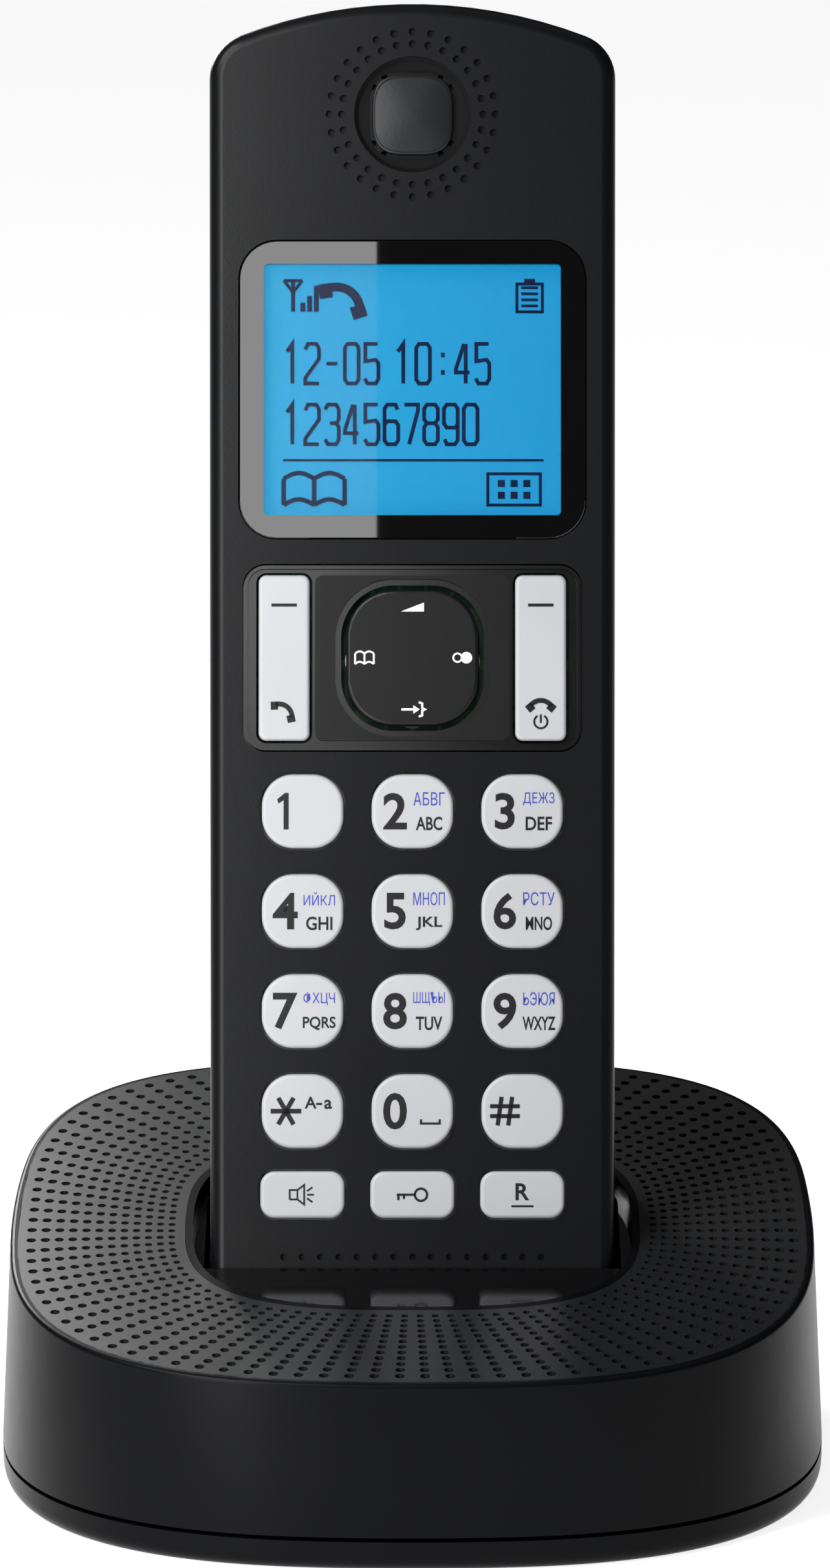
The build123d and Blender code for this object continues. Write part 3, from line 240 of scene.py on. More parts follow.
dotted_ring = mesh_object(
    "dotted_ring", ring_points.reshape(-1, 3), quads, (satin_black, dimple_painted_shade), face_slots=painted_shade_faces
)
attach(dotted_ring, "base")
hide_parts("base_top_ring")

# ---------------------------------------------------------------------------
# The base's casing: a deep satin black housing and the shallow bottom cover that closes it,
# both injection moulded, with four screws and four rubber pads underneath.


def dress(material, *names):
    """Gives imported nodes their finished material."""
    for name in names:
        for place in frame["nodes"][name].material_slots:
            place.material = material


def plated(name, colour, roughness, streaks=900, metallic=1.0):
    """Plated or drawn metal: fine streaks as bump and slight tarnish in colour."""
    material = moulded(name, colour, roughness, mottle=0.12)
    nodes, links = material.node_tree.nodes, material.node_tree.links
    shader = nodes["Principled BSDF"]
    shader.inputs["Metallic"].default_value = metallic
    place = next(n for n in nodes if n.type == "TEX_COORD")
    stretch = nodes.new("ShaderNodeMapping")
    stretch.inputs["Scale"].default_value = (0.1, 1, 1)
    links.new(place.outputs["Object"], stretch.inputs["Vector"])
    lines = nodes.new("ShaderNodeTexNoise")
    lines.inputs["Scale"].default_value = streaks * 6
    links.new(stretch.outputs["Vector"], lines.inputs["Vector"])
    bump = nodes.new("ShaderNodeBump")
    bump.inputs["Strength"].default_value = 0.15
    bump.inputs["Distance"].default_value = 0.02 * MM
    links.new(lines.outputs["Fac"], bump.inputs["Height"])
    links.new(bump.outputs["Normal"], shader.inputs["Normal"])
    return material


casing_black = moulded(
    "casing_black", (0.0022, 0.0024, 0.0030), 0.33, grain=0.08, grain_size=0.00035, mottle=0.1, specular=0.07
)
dress(casing_black, "base_upper_housing", "base_bottom_cover")
screw_steel = plated("screw_steel", (0.42, 0.42, 0.43), 0.35)
dress(screw_steel, "base_screws")
foot_rubber = moulded("foot_rubber", (0.018, 0.018, 0.018), 0.85, grain=0.5, grain_size=0.0006, specular=0.25)
dress(foot_rubber, "base_foot_pads")

# ---------------------------------------------------------------------------
# The cradle: a gloss black insert screwed under the ring, with two sprung charging contacts and
# the handset locator's button in its floor.
gloss_black = moulded("gloss_black", (0.004, 0.004, 0.0045), 0.07, mottle=0.15, specular=0.55)
dress(gloss_black, "cradle_insert")
contact_nickel = plated("contact_nickel", (0.78, 0.76, 0.72), 0.22)
dress(contact_nickel, "charge_contact_left", "charge_contact_right")
locator_grey = moulded("locator_grey", (0.22, 0.225, 0.23), 0.5, grain=0.15)
dress(locator_grey, "locator_button")

# ---------------------------------------------------------------------------
# Inside the base and in its back wall: the board with its radio module, capacitors and switch,
# and the moulded sockets for the telephone line and the supply.


def circuit_board(name, lacquer, copper):
    """Lacquered board: copper tracks under the lacquer as brighter lines in colour and bump."""
    material = moulded(name, lacquer, 0.35, mottle=0.15, specular=0.5)
    nodes, links = material.node_tree.nodes, material.node_tree.links
    shader = nodes["Principled BSDF"]
    place = next(n for n in nodes if n.type == "TEX_COORD")
    tracks = nodes.new("ShaderNodeTexBrick")
    tracks.inputs["Scale"].default_value = 160
    tracks.inputs["Mortar Size"].default_value = 0.03
    tracks.inputs["Color1"].default_value = (*lacquer, 1)
    tracks.inputs["Color2"].default_value = (*[c * 0.8 for c in lacquer], 1)
    tracks.inputs["Mortar"].default_value = (*copper, 1)
    links.new(place.outputs["Object"], tracks.inputs["Vector"])
    links.new(tracks.outputs["Color"], shader.inputs["Base Color"])
    bump = nodes.new("ShaderNodeBump")
    bump.inputs["Strength"].default_value = 0.3
    bump.inputs["Distance"].default_value = 0.03 * MM
    links.new(tracks.outputs["Fac"], bump.inputs["Height"])
    links.new(bump.outputs["Normal"], shader.inputs["Normal"])
    return material


board_green = circuit_board("board_green", (0.010, 0.085, 0.035), (0.05, 0.19, 0.07))
dress(board_green, "base_board", "handset_board")
tin_plate = plated("tin_plate", (0.62, 0.63, 0.62), 0.3)
dress(tin_plate, "base_radio_module", "handset_radio_shield", "key_domes", "battery_contacts")
capacitor_sleeve = moulded("capacitor_sleeve", (0.012, 0.016, 0.035), 0.32, mottle=0.2)
dress(capacitor_sleeve, "base_capacitors")
jack_black = moulded("jack_black", (0.012, 0.012, 0.012), 0.5, grain=0.1)
dress(jack_black, "locator_switch", "line_jack", "power_jack")

# ---------------------------------------------------------------------------
# The handset's two covers and the battery door: charcoal plastic with a fine matte grain,
# screwed together from behind, with plated charging pads in the foot.
charcoal = moulded(
    "handset_charcoal", (0.0026, 0.0029, 0.0036), 0.34,
    grain=0.14, grain_size=0.00026, mottle=0.06, specular=0.18,
)
dress(charcoal, "handset_front_cover", "handset_rear_cover", "battery_door")
dress(screw_steel, "handset_screws")
dress(contact_nickel, "handset_charge_plates")

# ---------------------------------------------------------------------------
# The display: a clear pane with a black border printed behind it, over a blue backlit liquid
# crystal whose symbols stand a hair above its face.
UP = Vector(next(j["axis"] for j in frame["joints"] if j["name"] == "handset_lift"))
OUT = Vector((0, -UP.z, UP.y))            # out of the handset's face
PANE_HALF = (17.5 * MM, 14.85 * MM)       # clear part of the window
PANE_CORNER = 0.5 * MM
WINDOW_CORNER = 4.5 * MM
BORDER_CHAMFER = 0.15 * MM


def on_face(flat, along, out):
    """Points across and up the handset's face, moved up by along and out by out, in the object's frame."""
    flat = np.asarray(flat, dtype=float).reshape(-1, 2)
    across, up = np.array((1.0, 0, 0)), np.array(UP)
    return flat[:, :1] * across + (flat[:, 1:] + along) * up + out * np.array(OUT)


def extent(name):
    """A handset node's lowest and highest place up the face, and out of it."""
    points = node(name)
    up, out = points @ np.array(UP), points @ np.array(OUT)
    return up.min(), up.max(), out.min(), out.max()


def rounded_loop(half_x, half_y, corner, steps=8):
    """A rounded rectangle's edge, anticlockwise: four quarter circles joined by straight sides."""
    quarter = np.linspace(0, pi / 2, steps + 1)
    loop = []
    for number, (sign_x, sign_y) in enumerate(((1, 1), (-1, 1), (-1, -1), (1, -1))):
        turned = quarter + number * pi / 2
        middle = np.array((sign_x * (half_x - corner), sign_y * (half_y - corner)))
        loop.append(middle + corner * np.stack([np.cos(turned), np.sin(turned)], axis=-1))
    return np.concatenate(loop)


def stack_of_loops(name, loops, materials, closed=False, smooth=False):
    """A skin over loops of points laid one after another, capped at both ends or joined end to end."""
    points = np.concatenate(loops)
    count = len(loops[0])
    faces = grid_faces(len(loops), count, closed_rows=closed).tolist()
    if not closed:
        faces += [list(range(count)), list(range(len(points) - 1, len(points) - 1 - count, -1))]
    return mesh_object(name, points, faces, materials, smooth)


window_low, window_high, pane_back, pane_front = extent("lcd_window")
window_along = (window_low + window_high) / 2
window_half = (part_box("lcd_window")[1].x, (window_high - window_low) / 2)
border_black = moulded("border_black", (0.002, 0.002, 0.0022), 0.01, mottle=0.1, specular=0.5)
outer_loop = rounded_loop(*window_half, WINDOW_CORNER)
chamfered_loop = rounded_loop(
    window_half[0] - BORDER_CHAMFER, window_half[1] - BORDER_CHAMFER, WINDOW_CORNER - BORDER_CHAMFER
)
pane_loop = rounded_loop(*PANE_HALF, PANE_CORNER)
window_border = stack_of_loops(
    "window_border",
    [
        on_face(pane_loop, window_along, pane_back),
        on_face(pane_loop, window_along, pane_front),
        on_face(chamfered_loop, window_along, pane_front),
        on_face(outer_loop, window_along, pane_front - BORDER_CHAMFER),
        on_face(outer_loop, window_along, pane_back),
    ],
    (border_black,), closed=True,
)
clear_pane = bpy.data.materials.new("clear_pane")
clear_pane.use_nodes = True
pane_nodes, pane_links = clear_pane.node_tree.nodes, clear_pane.node_tree.links
pane_shader = pane_nodes["Principled BSDF"]
pane_shader.inputs["Base Color"].default_value = (0.97, 0.985, 1, 1)
pane_shader.inputs["Transmission Weight"].default_value = 1
pane_shader.inputs["IOR"].default_value = 1.1
smear = pane_nodes.new("ShaderNodeTexNoise")
smear.inputs["Scale"].default_value = 90
smear_place = pane_nodes.new("ShaderNodeTexCoord")
pane_links.new(smear_place.outputs["Object"], smear.inputs["Vector"])
smear_range = pane_nodes.new("ShaderNodeMapRange")
smear_range.inputs["To Min"].default_value = 0.0
smear_range.inputs["To Max"].default_value = 0.02
pane_links.new(smear.outputs["Fac"], smear_range.inputs["Value"])
pane_links.new(smear_range.outputs["Result"], pane_shader.inputs["Roughness"])
window_pane = stack_of_loops(
    "window_pane",
    [on_face(pane_loop, window_along, pane_front), on_face(pane_loop, window_along, pane_back)],
    (clear_pane,),
)
for piece in (window_border, window_pane):
    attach(piece, "handset")
    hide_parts("lcd_window")

# The liquid crystal's real backlight glow, with a painted highlight: its blue is painted lighter on the left.
backlit = bpy.data.materials.new("lcd_backlight_and_painted_highlight")
backlit.use_nodes = True
lcd_nodes, lcd_links = backlit.node_tree.nodes, backlit.node_tree.links
lcd_shader = lcd_nodes["Principled BSDF"]
lcd_shader.inputs["Roughness"].default_value = 0.5
lcd_shader.inputs["Specular IOR Level"].default_value = 0.1
lcd_shader.inputs["Emission Strength"].default_value = 1.0
lcd_place = lcd_nodes.new("ShaderNodeTexCoord")
lcd_split = lcd_nodes.new("ShaderNodeSeparateXYZ")
lcd_links.new(lcd_place.outputs["Object"], lcd_split.inputs["Vector"])
# Painted highlight: the emitted blue runs from brighter at the pane's left edge to darker at its right,
# standing in for light falling from the left.
lcd_painted_highlight_fall = lcd_nodes.new("ShaderNodeMapRange")
lcd_painted_highlight_fall.inputs["From Min"].default_value = -PANE_HALF[0]
lcd_painted_highlight_fall.inputs["From Max"].default_value = PANE_HALF[0]
lcd_links.new(lcd_split.outputs["X"], lcd_painted_highlight_fall.inputs["Value"])
cells = lcd_nodes.new("ShaderNodeTexNoise")
cells.inputs["Scale"].default_value = 700
cells.inputs["Detail"].default_value = 3
lcd_links.new(lcd_place.outputs["Object"], cells.inputs["Vector"])
cells_and_painted_highlight = lcd_nodes.new("ShaderNodeMath")
cells_and_painted_highlight.operation = "MULTIPLY_ADD"
cells_and_painted_highlight.inputs[1].default_value = 0.35
lcd_links.new(cells.outputs["Fac"], cells_and_painted_highlight.inputs[0])
lcd_links.new(lcd_painted_highlight_fall.outputs["Result"], cells_and_painted_highlight.inputs[2])
# Left colour lighter than the right one: painted highlight on top of the backlight's blue.
glow_and_painted_highlight = lcd_nodes.new("ShaderNodeValToRGB")
glow_and_painted_highlight.color_ramp.elements[0].position, glow_and_painted_highlight.color_ramp.elements[1].position = 0.1, 1.0
glow_and_painted_highlight.color_ramp.elements[0].color = (0.0, 0.31, 0.56, 1)
glow_and_painted_highlight.color_ramp.elements[1].color = (0.0, 0.24, 0.50, 1)
lcd_links.new(cells_and_painted_highlight.outputs["Value"], glow_and_painted_highlight.inputs["Fac"])
lcd_links.new(glow_and_painted_highlight.outputs["Color"], lcd_shader.inputs["Emission Color"])
lcd_shader.inputs["Base Color"].default_value = (0.01, 0.06, 0.1, 1)
dress(backlit, "lcd_module")
frame_white = moulded("frame_white", (0.62, 0.62, 0.6), 0.5)
dress(frame_white, "lcd_holder")

# Flat marks are drawn in millimetres about a middle, then laid on a surface as a thin film.
FILM = 0.015 * MM
TEXT_FINE = 4


def polygon(*corners):
    """A filled outline."""
    triangles = tessellate_polygon([[Vector((x, y, 0)) for x, y in corners]])
    return np.array(corners, dtype=float), [list(t) for t in triangles]


def band(points, width):
    """A line of even width along points, with mitred turns."""
    points = np.asarray(points, dtype=float)
    runs = np.diff(points, axis=0)
    runs = runs / np.linalg.norm(runs, axis=1, keepdims=True)
    sides = np.stack([-runs[:, 1], runs[:, 0]], axis=-1)
    before, after = np.concatenate([sides[:1], sides]), np.concatenate([sides, sides[-1:]])
    mitre = (before + after) / (1 + (before * after).sum(axis=1, keepdims=True))
    both = np.concatenate([points + mitre * width / 2, points - mitre * width / 2])
    count = len(points)
    return both, [[i, i + count, i + count + 1, i + 1] for i in range(count - 1)]


def arc(x, y, radius, start, end, width, steps=24):
    """A round band about (x, y) from the start to the end angle, in degrees."""
    turned = np.radians(np.linspace(start, end, steps + 1))
    return band(np.stack([x + radius * np.cos(turned), y + radius * np.sin(turned)], axis=-1), width)


def disc(x, y, radius, steps=24):
    """A filled circle."""
    turned = np.linspace(0, 2 * pi, steps, endpoint=False)
    return np.stack([x + radius * np.cos(turned), y + radius * np.sin(turned)], axis=-1), [list(range(steps))]


def box(x, y, width, height, turned=0.0):
    """A filled rectangle about (x, y), turned by an angle in degrees."""
    c, s = cos(radians(turned)), sin(radians(turned))
    corners = np.array(((-width, -height), (width, -height), (width, height), (-width, height))) / 2
    return corners @ np.array(((c, s), (-s, c))) + (x, y), [[0, 1, 2, 3]]


def lettering(text, x, y, height, width=None, weight=0.0):
    """Plain lettering about (x, y), as tall as height, and stretched to width if one is given."""
    curve = bpy.data.curves.new("lettering", "FONT")
    curve.body = text
    curve.offset = weight
    curve.resolution_u = TEXT_FINE
    holder = bpy.data.objects.new("lettering", curve)
    bpy.context.scene.collection.objects.link(holder)
    bpy.context.view_layer.update()
    mesh = bpy.data.meshes.new_from_object(holder.evaluated_get(bpy.context.evaluated_depsgraph_get()))
    points = np.array([v.co[:2] for v in mesh.vertices])
    faces = [list(p.vertices) for p in mesh.polygons]
    bpy.data.objects.remove(holder)
    bpy.data.curves.remove(curve)
    bpy.data.meshes.remove(mesh)
    low, high = points.min(axis=0), points.max(axis=0)
    scale_y = height / (high - low)[1]
    scale_x = scale_y if width is None else width / (high - low)[0]
    return (points - (low + high) / 2) * (scale_x, scale_y) + (x, y), faces


def moved(shape, x, y, turned=0.0, size=1.0):
    """A shape turned by an angle in degrees, resized and moved."""
    points, faces = shape
    c, s = cos(radians(turned)), sin(radians(turned))
    return points * size @ np.array(((c, s), (-s, c))) + (x, y), faces


def joined(*shapes):
    """Several flat shapes as one."""
    points, faces, start = [], [], 0
    for shape_points, shape_faces in shapes:
        points.append(shape_points)
        faces += [[corner + start for corner in face] for face in shape_faces]
        start += len(shape_points)
    return np.concatenate(points), faces


def printed(name, shapes, across, along, out, material, body):
    """Lays flat shapes on the handset's face about a place, as a thin film, riding on a body."""
    points, faces = joined(*shapes)
    points = points * MM + (across, 0)
    piece = mesh_object(name, on_face(points, along, out), faces, (material,))
    film = piece.modifiers.new("film", "SOLIDIFY")
    film.thickness = FILM
    film.offset = 1
    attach(piece, body)
    return piece


def receiver_mark(length=1.0):
    """A telephone receiver lying level: a bowed handle with a block at each end."""
    handle = arc(0, -1.1, 1.5, 35, 145, 0.58)
    ends = [box(side * 1.25, -0.42, 0.85, 0.95, -side * 40) for side in (-1, 1)]
    return moved(joined(handle, *ends), 0, 0, size=length)


def book_mark(width, height, line):
    """An open book: two pages with bowed tops, and the spine between them."""
    half, rise = width / 4, height * 0.18
    pages = []
    for side in (-1, 1):
        bow = np.linspace(0, 1, 9)
        top = np.stack([side * 2 * half * bow, height / 2 - rise + rise * np.sin(pi * bow)], axis=-1)
        low = np.stack([side * 2 * half * bow, -height / 2 + rise * np.sin(pi * bow)], axis=-1)
        pages += [band(top, line), band(low, line), band([top[-1], low[-1]], line)]
    spine = band([(0, height / 2 - rise), (0, -height / 2)], line)
    return joined(*pages, spine)


LCD_FIGURE_WIDTH, LCD_FIGURE_HEIGHT, LCD_FIGURE_PITCH, LCD_STROKE = 1.62, 4.7, 2.34, 0.46
lcd_figure_lines = {
    "0": [[(0.5, 0), (0.2, 0), (0, 0.1), (0, 0.9), (0.2, 1), (0.8, 1), (1, 0.9), (1, 0.1), (0.8, 0),
           (0.5, 0)]],
    "1": [[(0.1, 0.8), (0.5, 1), (0.5, 0)]],
    "2": [[(0, 0.85), (0.2, 1), (0.8, 1), (1, 0.88), (1, 0.62), (0, 0.14), (0, 0), (1, 0)]],
    "3": [[(0, 0.87), (0.2, 1), (0.8, 1), (1, 0.88), (1, 0.63), (0.8, 0.53), (0.35, 0.53)],
          [(0.8, 0.53), (1, 0.43), (1, 0.12), (0.8, 0), (0.2, 0), (0, 0.13)]],
    "4": [[(0.72, 0), (0.72, 1)], [(0.6, 1), (0, 0.36), (0, 0.28), (1, 0.28)]],
    "5": [[(0.95, 1), (0.05, 1), (0.05, 0.56), (0.8, 0.6), (1, 0.5), (1, 0.12), (0.8, 0), (0.2, 0),
           (0, 0.13)]],
    "6": [[(0.95, 0.87), (0.8, 1), (0.2, 1), (0, 0.9), (0, 0.1), (0.2, 0), (0.8, 0), (1, 0.1), (1, 0.48),
           (0.8, 0.58), (0.2, 0.58), (0, 0.5)]],
    "7": [[(0, 1), (1, 1), (1, 0.86), (0.35, 0)]],
    "8": [[(0.2, 0.53), (0, 0.63), (0, 0.9), (0.2, 1), (0.8, 1), (1, 0.9), (1, 0.63), (0.8, 0.53),
           (0.2, 0.53)],
          [(0.2, 0.53), (0, 0.43), (0, 0.1), (0.2, 0), (0.8, 0), (1, 0.1), (1, 0.43), (0.8, 0.53)]],
    "9": [[(0.05, 0.13), (0.2, 0), (0.8, 0), (1, 0.1), (1, 0.9), (0.8, 1), (0.2, 1), (0, 0.9), (0, 0.52),
           (0.2, 0.42), (0.8, 0.42), (1, 0.5)]],
    "-": [[(0.1, 0.5), (0.9, 0.5)]],
    ":": [[(0.5, 0.22), (0.5, 0.34)], [(0.5, 0.66), (0.5, 0.78)]],
}


def lcd_figures(text, left, foot):
    """A row of figures in the plain strokes of a segment display, from a left end and a foot line."""
    shapes = []
    for place, figure in enumerate(text):
        for line in lcd_figure_lines[figure]:
            spots = np.array(line) * (LCD_FIGURE_WIDTH, LCD_FIGURE_HEIGHT)
            shapes.append(band(spots + (left + LCD_FIGURE_PITCH * place, foot), LCD_STROKE))
    return joined(*shapes)


LCD_INK_GAP = 0.02 * MM
lcd_ink = moulded("lcd_symbol_navy", (0.004, 0.010, 0.040), 0.5, specular=0.05)
signal_mark = joined(
    band([(-15.2, 13.1), (-13.0, 13.1)], 0.38),
    band([(-15.2, 13.1), (-14.1, 11.7)], 0.38),
    band([(-13.0, 13.1), (-14.1, 11.7)], 0.38),
    band([(-14.1, 13.1), (-14.1, 9.4)], 0.5),
    box(-12.95, 9.95, 0.6, 1.1),
    box(-12.15, 10.35, 0.6, 1.9),
    box(-11.35, 10.95, 0.6, 3.1),
)
battery_mark = joined(
    band([(12.35, 9.4), (15.35, 9.4), (15.35, 12.7), (12.35, 12.7), (12.35, 9.4), (12.6, 9.4)], 0.36),
    box(13.85, 13.05, 1.3, 0.55),
    *[box(13.85, 10.1 + 0.72 * step, 2.0, 0.34) for step in range(4)],
)
keypad_mark = joined(
    band([(8.9, -13.5), (15.1, -13.5), (15.1, -9.8), (8.9, -9.8), (8.9, -13.5), (9.2, -13.5)], 0.36),
    *[box(10.5 + 1.5 * column, -12.35 + 1.4 * row, 0.85, 0.85) for column in range(3) for row in range(2)],
)
lcd_front = extent("lcd_module")[3]
printed(
    "lcd_symbols",
    [
        signal_mark,
        moved(receiver_mark(1.85), -7.9, 11.3, turned=-32),
        battery_mark,
        lcd_figures("12-05", -15.0, 0.9),
        lcd_figures("10:45", -15.0 + 5.6 * LCD_FIGURE_PITCH, 0.9),
        lcd_figures("1234567890", -15.0, -6.3),
        box(0.1, -8.2, 30.8, 0.3),
        moved(book_mark(7.2, 3.8, 0.55), -11.6, -11.6),
        keypad_mark,
    ],
    0, window_along, lcd_front + LCD_INK_GAP, lcd_ink, "handset",
)

# ---------------------------------------------------------------------------
# The control panel: a gloss black bezel sunk in the face, a matte inlay in it, two long grey
# rocker bars and the black four-way navigation key on its gimbal, with printed marks.
bezel_black = moulded("bezel_black", (0.003, 0.003, 0.0035), 0.12, mottle=0.15, specular=0.3)
dress(bezel_black, "control_bezel")
inlay_black = moulded(
    "inlay_black", (0.0040, 0.0042, 0.0048), 0.36, grain=0.10, grain_size=0.00022, specular=0.25
)
dress(inlay_black, "control_inlay", "nav_key", "nav_pivot")
key_grey = moulded(
    "key_grey", (0.37, 0.373, 0.386), 0.42, grain=0.08, grain_size=0.0002, mottle=0.03, specular=0.4
)
dress(key_grey, "talk_key", "off_key")
PRINT_GAP = 0.012 * MM
ink_black = moulded("key_print_black", (0.006, 0.006, 0.007), 0.45, specular=0.25)
ink_blue = moulded("key_print_blue", (0.035, 0.045, 0.33), 0.45, specular=0.25)
ink_white = moulded("nav_print_white", (0.78, 0.78, 0.78), 0.45, specular=0.25)


def key_marks(key, name, shapes, ink):
    """Prints shapes on the top of one key, about the cap's middle, riding on that key's own body."""
    low, high, _, out = extent(key)
    points = node(key)
    cap = points[points @ np.array(OUT) > out - 0.1 * MM]
    along = cap @ np.array(UP)
    across = (cap[:, 0].min() + cap[:, 0].max()) / 2
    return printed(
        name, shapes, across, (along.min() + along.max()) / 2, out + PRINT_GAP, ink, key
    )


bar_dash = box(0, 6.2, 3.0, 0.36)
talk_receiver = moved(receiver_mark(1.0), 0.1, -6.1, turned=-38)
off_receiver = moved(receiver_mark(1.0), 0, -5.45)
power_mark = joined(arc(0, -7.55, 0.78, 120, 420, 0.24), box(0, -7.2, 0.24, 1.0))
key_marks("talk_key", "talk_key_marks", [bar_dash, talk_receiver], ink_black)
key_marks("off_key", "off_key_marks", [bar_dash, off_receiver, power_mark], ink_black)
volume_wedge = polygon((-1.35, 5.45), (1.35, 5.45), (1.35, 6.5))
nav_book = moved(book_mark(2.2, 1.5, 0.2), -5.65, 0)
two_calls = joined(arc(5.3, 0, 0.5, 0, 360, 0.2), disc(6.35, 0, 0.68))
into_bracket = joined(
    band([(-1.3, -6.1), (0.35, -6.1)], 0.26),
    polygon((0.1, -5.6), (0.85, -6.1), (0.1, -6.6)),
    band(
        [(0.75, -5.25), (1.15, -5.4), (1.15, -5.95), (1.45, -6.1),
         (1.15, -6.25), (1.15, -6.8), (0.75, -6.95)],
        0.24,
    ),
)
nav_marks = [volume_wedge, nav_book, two_calls, into_bracket]
key_marks("nav_key", "nav_key_marks", nav_marks, ink_white)

# ---------------------------------------------------------------------------
# The fifteen small keys: hard light grey caps, each with its figure and letters printed black
# and blue on top, pressing through the face onto the board's domes.
FIGURE_HEIGHT = 4.3
FIGURE_SPOT = -2.05
FIGURE_WEIGHT = 0.022
LETTER_SPOT = 1.95
key_letters = {
    2: ("ABC", "АБВГ"),
    3: ("DEF", "ДЕЖЗ"),
    4: ("GHI", "ИЙКЛ"),
    5: ("JKL", "МНОП"),
    6: ("MNO", "РСТУ"),
    7: ("PQRS", "ФХЦЧ"),
    8: ("TUV", "ШЩЪЫ"),
    9: ("WXYZ", "ЬЭЮЯ"),
}
dress(key_grey, *[f"key_{figure}" for figure in range(10)])
dress(key_grey, "key_star", "key_hash", "key_speaker", "key_lock", "key_recall")
half_figure = FIGURE_HEIGHT / 2
figure_one = polygon(
    (-1.65, -half_figure), (-1.65, half_figure), (-2.1, half_figure), (-3.0, half_figure - 0.75),
    (-2.85, half_figure - 1.25), (-2.25, half_figure - 0.85), (-2.25, -half_figure),
)
for figure in range(10):
    black_marks = [lettering(str(figure), FIGURE_SPOT, 0, FIGURE_HEIGHT, weight=FIGURE_WEIGHT)]
    if figure == 1:
        black_marks = [figure_one]
    if figure in key_letters:
        latin, second = key_letters[figure]
        black_marks.append(lettering(latin, LETTER_SPOT, -1.45, 1.6, 0.75 * len(latin) + 0.85, weight=0.018))
        key_marks(
            f"key_{figure}", f"key_{figure}_second_letters",
            [lettering(second, LETTER_SPOT, 1.45, 1.55, 3.7)], ink_blue,
        )
    if figure == 0:
        black_marks.append(band([(1.0, -0.95), (1.0, -1.45), (3.2, -1.45), (3.2, -0.95)], 0.26))
    key_marks(f"key_{figure}", f"key_{figure}_marks", black_marks, ink_black)
star_arms = [box(FIGURE_SPOT + 0.1, 0, 3.6, 0.55, turned) for turned in (0, 60, 120)]
key_marks(
    "key_star", "key_star_marks",
    [
        *star_arms, lettering("A", 0.95, 1.0, 1.4, weight=0.02), box(1.95, 0.85, 0.7, 0.26),
        lettering("a", 3.0, 0.8, 1.1, weight=0.02),
    ],
    ink_black,
)
hash_bars = [box(FIGURE_SPOT + side * 0.62, 0, 0.5, 3.4, -8) for side in (-1, 1)]
hash_bars += [box(FIGURE_SPOT, side * 0.58, 3.5, 0.48) for side in (-1, 1)]
key_marks("key_hash", "key_hash_marks", hash_bars, ink_black)
speaker_mark = joined(
    band(
        [(-1.5, -0.55), (-1.5, 0.55), (-0.6, 0.55), (0.2, 1.15), (0.2, -1.15), (-0.6, -0.55), (-1.5, -0.55)],
        0.22,
    ),
    band([(-0.6, 0.55), (-0.6, -0.55)], 0.2),
    box(0.95, 0, 0.8, 0.22),
    box(0.85, 0.65, 0.8, 0.22, 35),
    box(0.85, -0.65, 0.8, 0.22, -35),
)
lock_mark = joined(
    arc(1.0, 0, 0.72, 0, 360, 0.28),
    box(-0.75, 0, 2.2, 0.28),
    box(-1.65, -0.3, 0.28, 0.7),
    box(-1.0, -0.25, 0.28, 0.5),
)
recall_mark = joined(lettering("R", 0, 0.35, 2.0, weight=0.02), box(0, -1.35, 2.6, 0.24))
key_marks("key_speaker", "key_speaker_marks", [speaker_mark], ink_black)
key_marks("key_lock", "key_lock_marks", [lock_mark], ink_black)
key_marks("key_recall", "key_recall_marks", [recall_mark], ink_black)

# ---------------------------------------------------------------------------
# The earpiece: a softly crowned square hub in the middle of a round dish, and the black dust
# cloth that lies in the dish over the sound holes.
EARPIECE_FROM_TOP = 13.3 * MM
HUB_HALF = 4.66 * MM
HUB_ROUNDNESS = 3.4
HUB_CROWN = 0.42 * MM
HUB_LIFT = 0.03 * MM
HUB_EDGE_ROUND = 0.25 * MM
HUB_MIDDLE_SHARE = 0.02          # first loop's size over the hub's
HUB_EDGE_SHARE = 0.965           # where the crown ends and the rounded edge starts
HUB_RINGS, HUB_EDGE_STEPS, HUB_POINTS = 24, 8, 96
DISH_RADIUS = 6.88 * MM
DISH_DEPTH = 0.9 * MM
hub_charcoal = moulded("hub_charcoal", (0.0065, 0.0072, 0.0084), 0.38, grain=0.14, mottle=0.06, specular=0.28)
_, cover_top, _, face_out = extent("handset_front_cover")
ear_along = cover_top - EARPIECE_FROM_TOP
crown_share = np.linspace(HUB_MIDDLE_SHARE, HUB_EDGE_SHARE, HUB_RINGS)
hub_share = np.concatenate([crown_share, np.full(HUB_EDGE_STEPS, HUB_EDGE_SHARE)])
hub_height = HUB_CROWN * (1 - hub_share**2) + HUB_LIFT
turn_down = np.linspace(0, pi / 2, HUB_EDGE_STEPS)
hub_share[-HUB_EDGE_STEPS:] += HUB_EDGE_ROUND / HUB_HALF * np.sin(turn_down)
hub_height[-HUB_EDGE_STEPS:] -= HUB_EDGE_ROUND * (1 - np.cos(turn_down))
hub_share = np.append(hub_share, hub_share[-1])
hub_height = np.append(hub_height, HUB_LIFT - DISH_DEPTH)
hub_angles = np.linspace(0, 2 * pi, HUB_POINTS, endpoint=False)
hub_roundness = 2 + (HUB_ROUNDNESS - 2) * np.clip(hub_share, 0, 1)
hub_loops = [
    on_face(superellipse(HUB_HALF * share, HUB_HALF * share, bend, hub_angles), ear_along, face_out + height)
    for share, bend, height in zip(hub_share, hub_roundness, hub_height)
]
earpiece_hub = stack_of_loops("earpiece_hub", hub_loops, (hub_charcoal,), smooth=True)
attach(earpiece_hub, "handset")


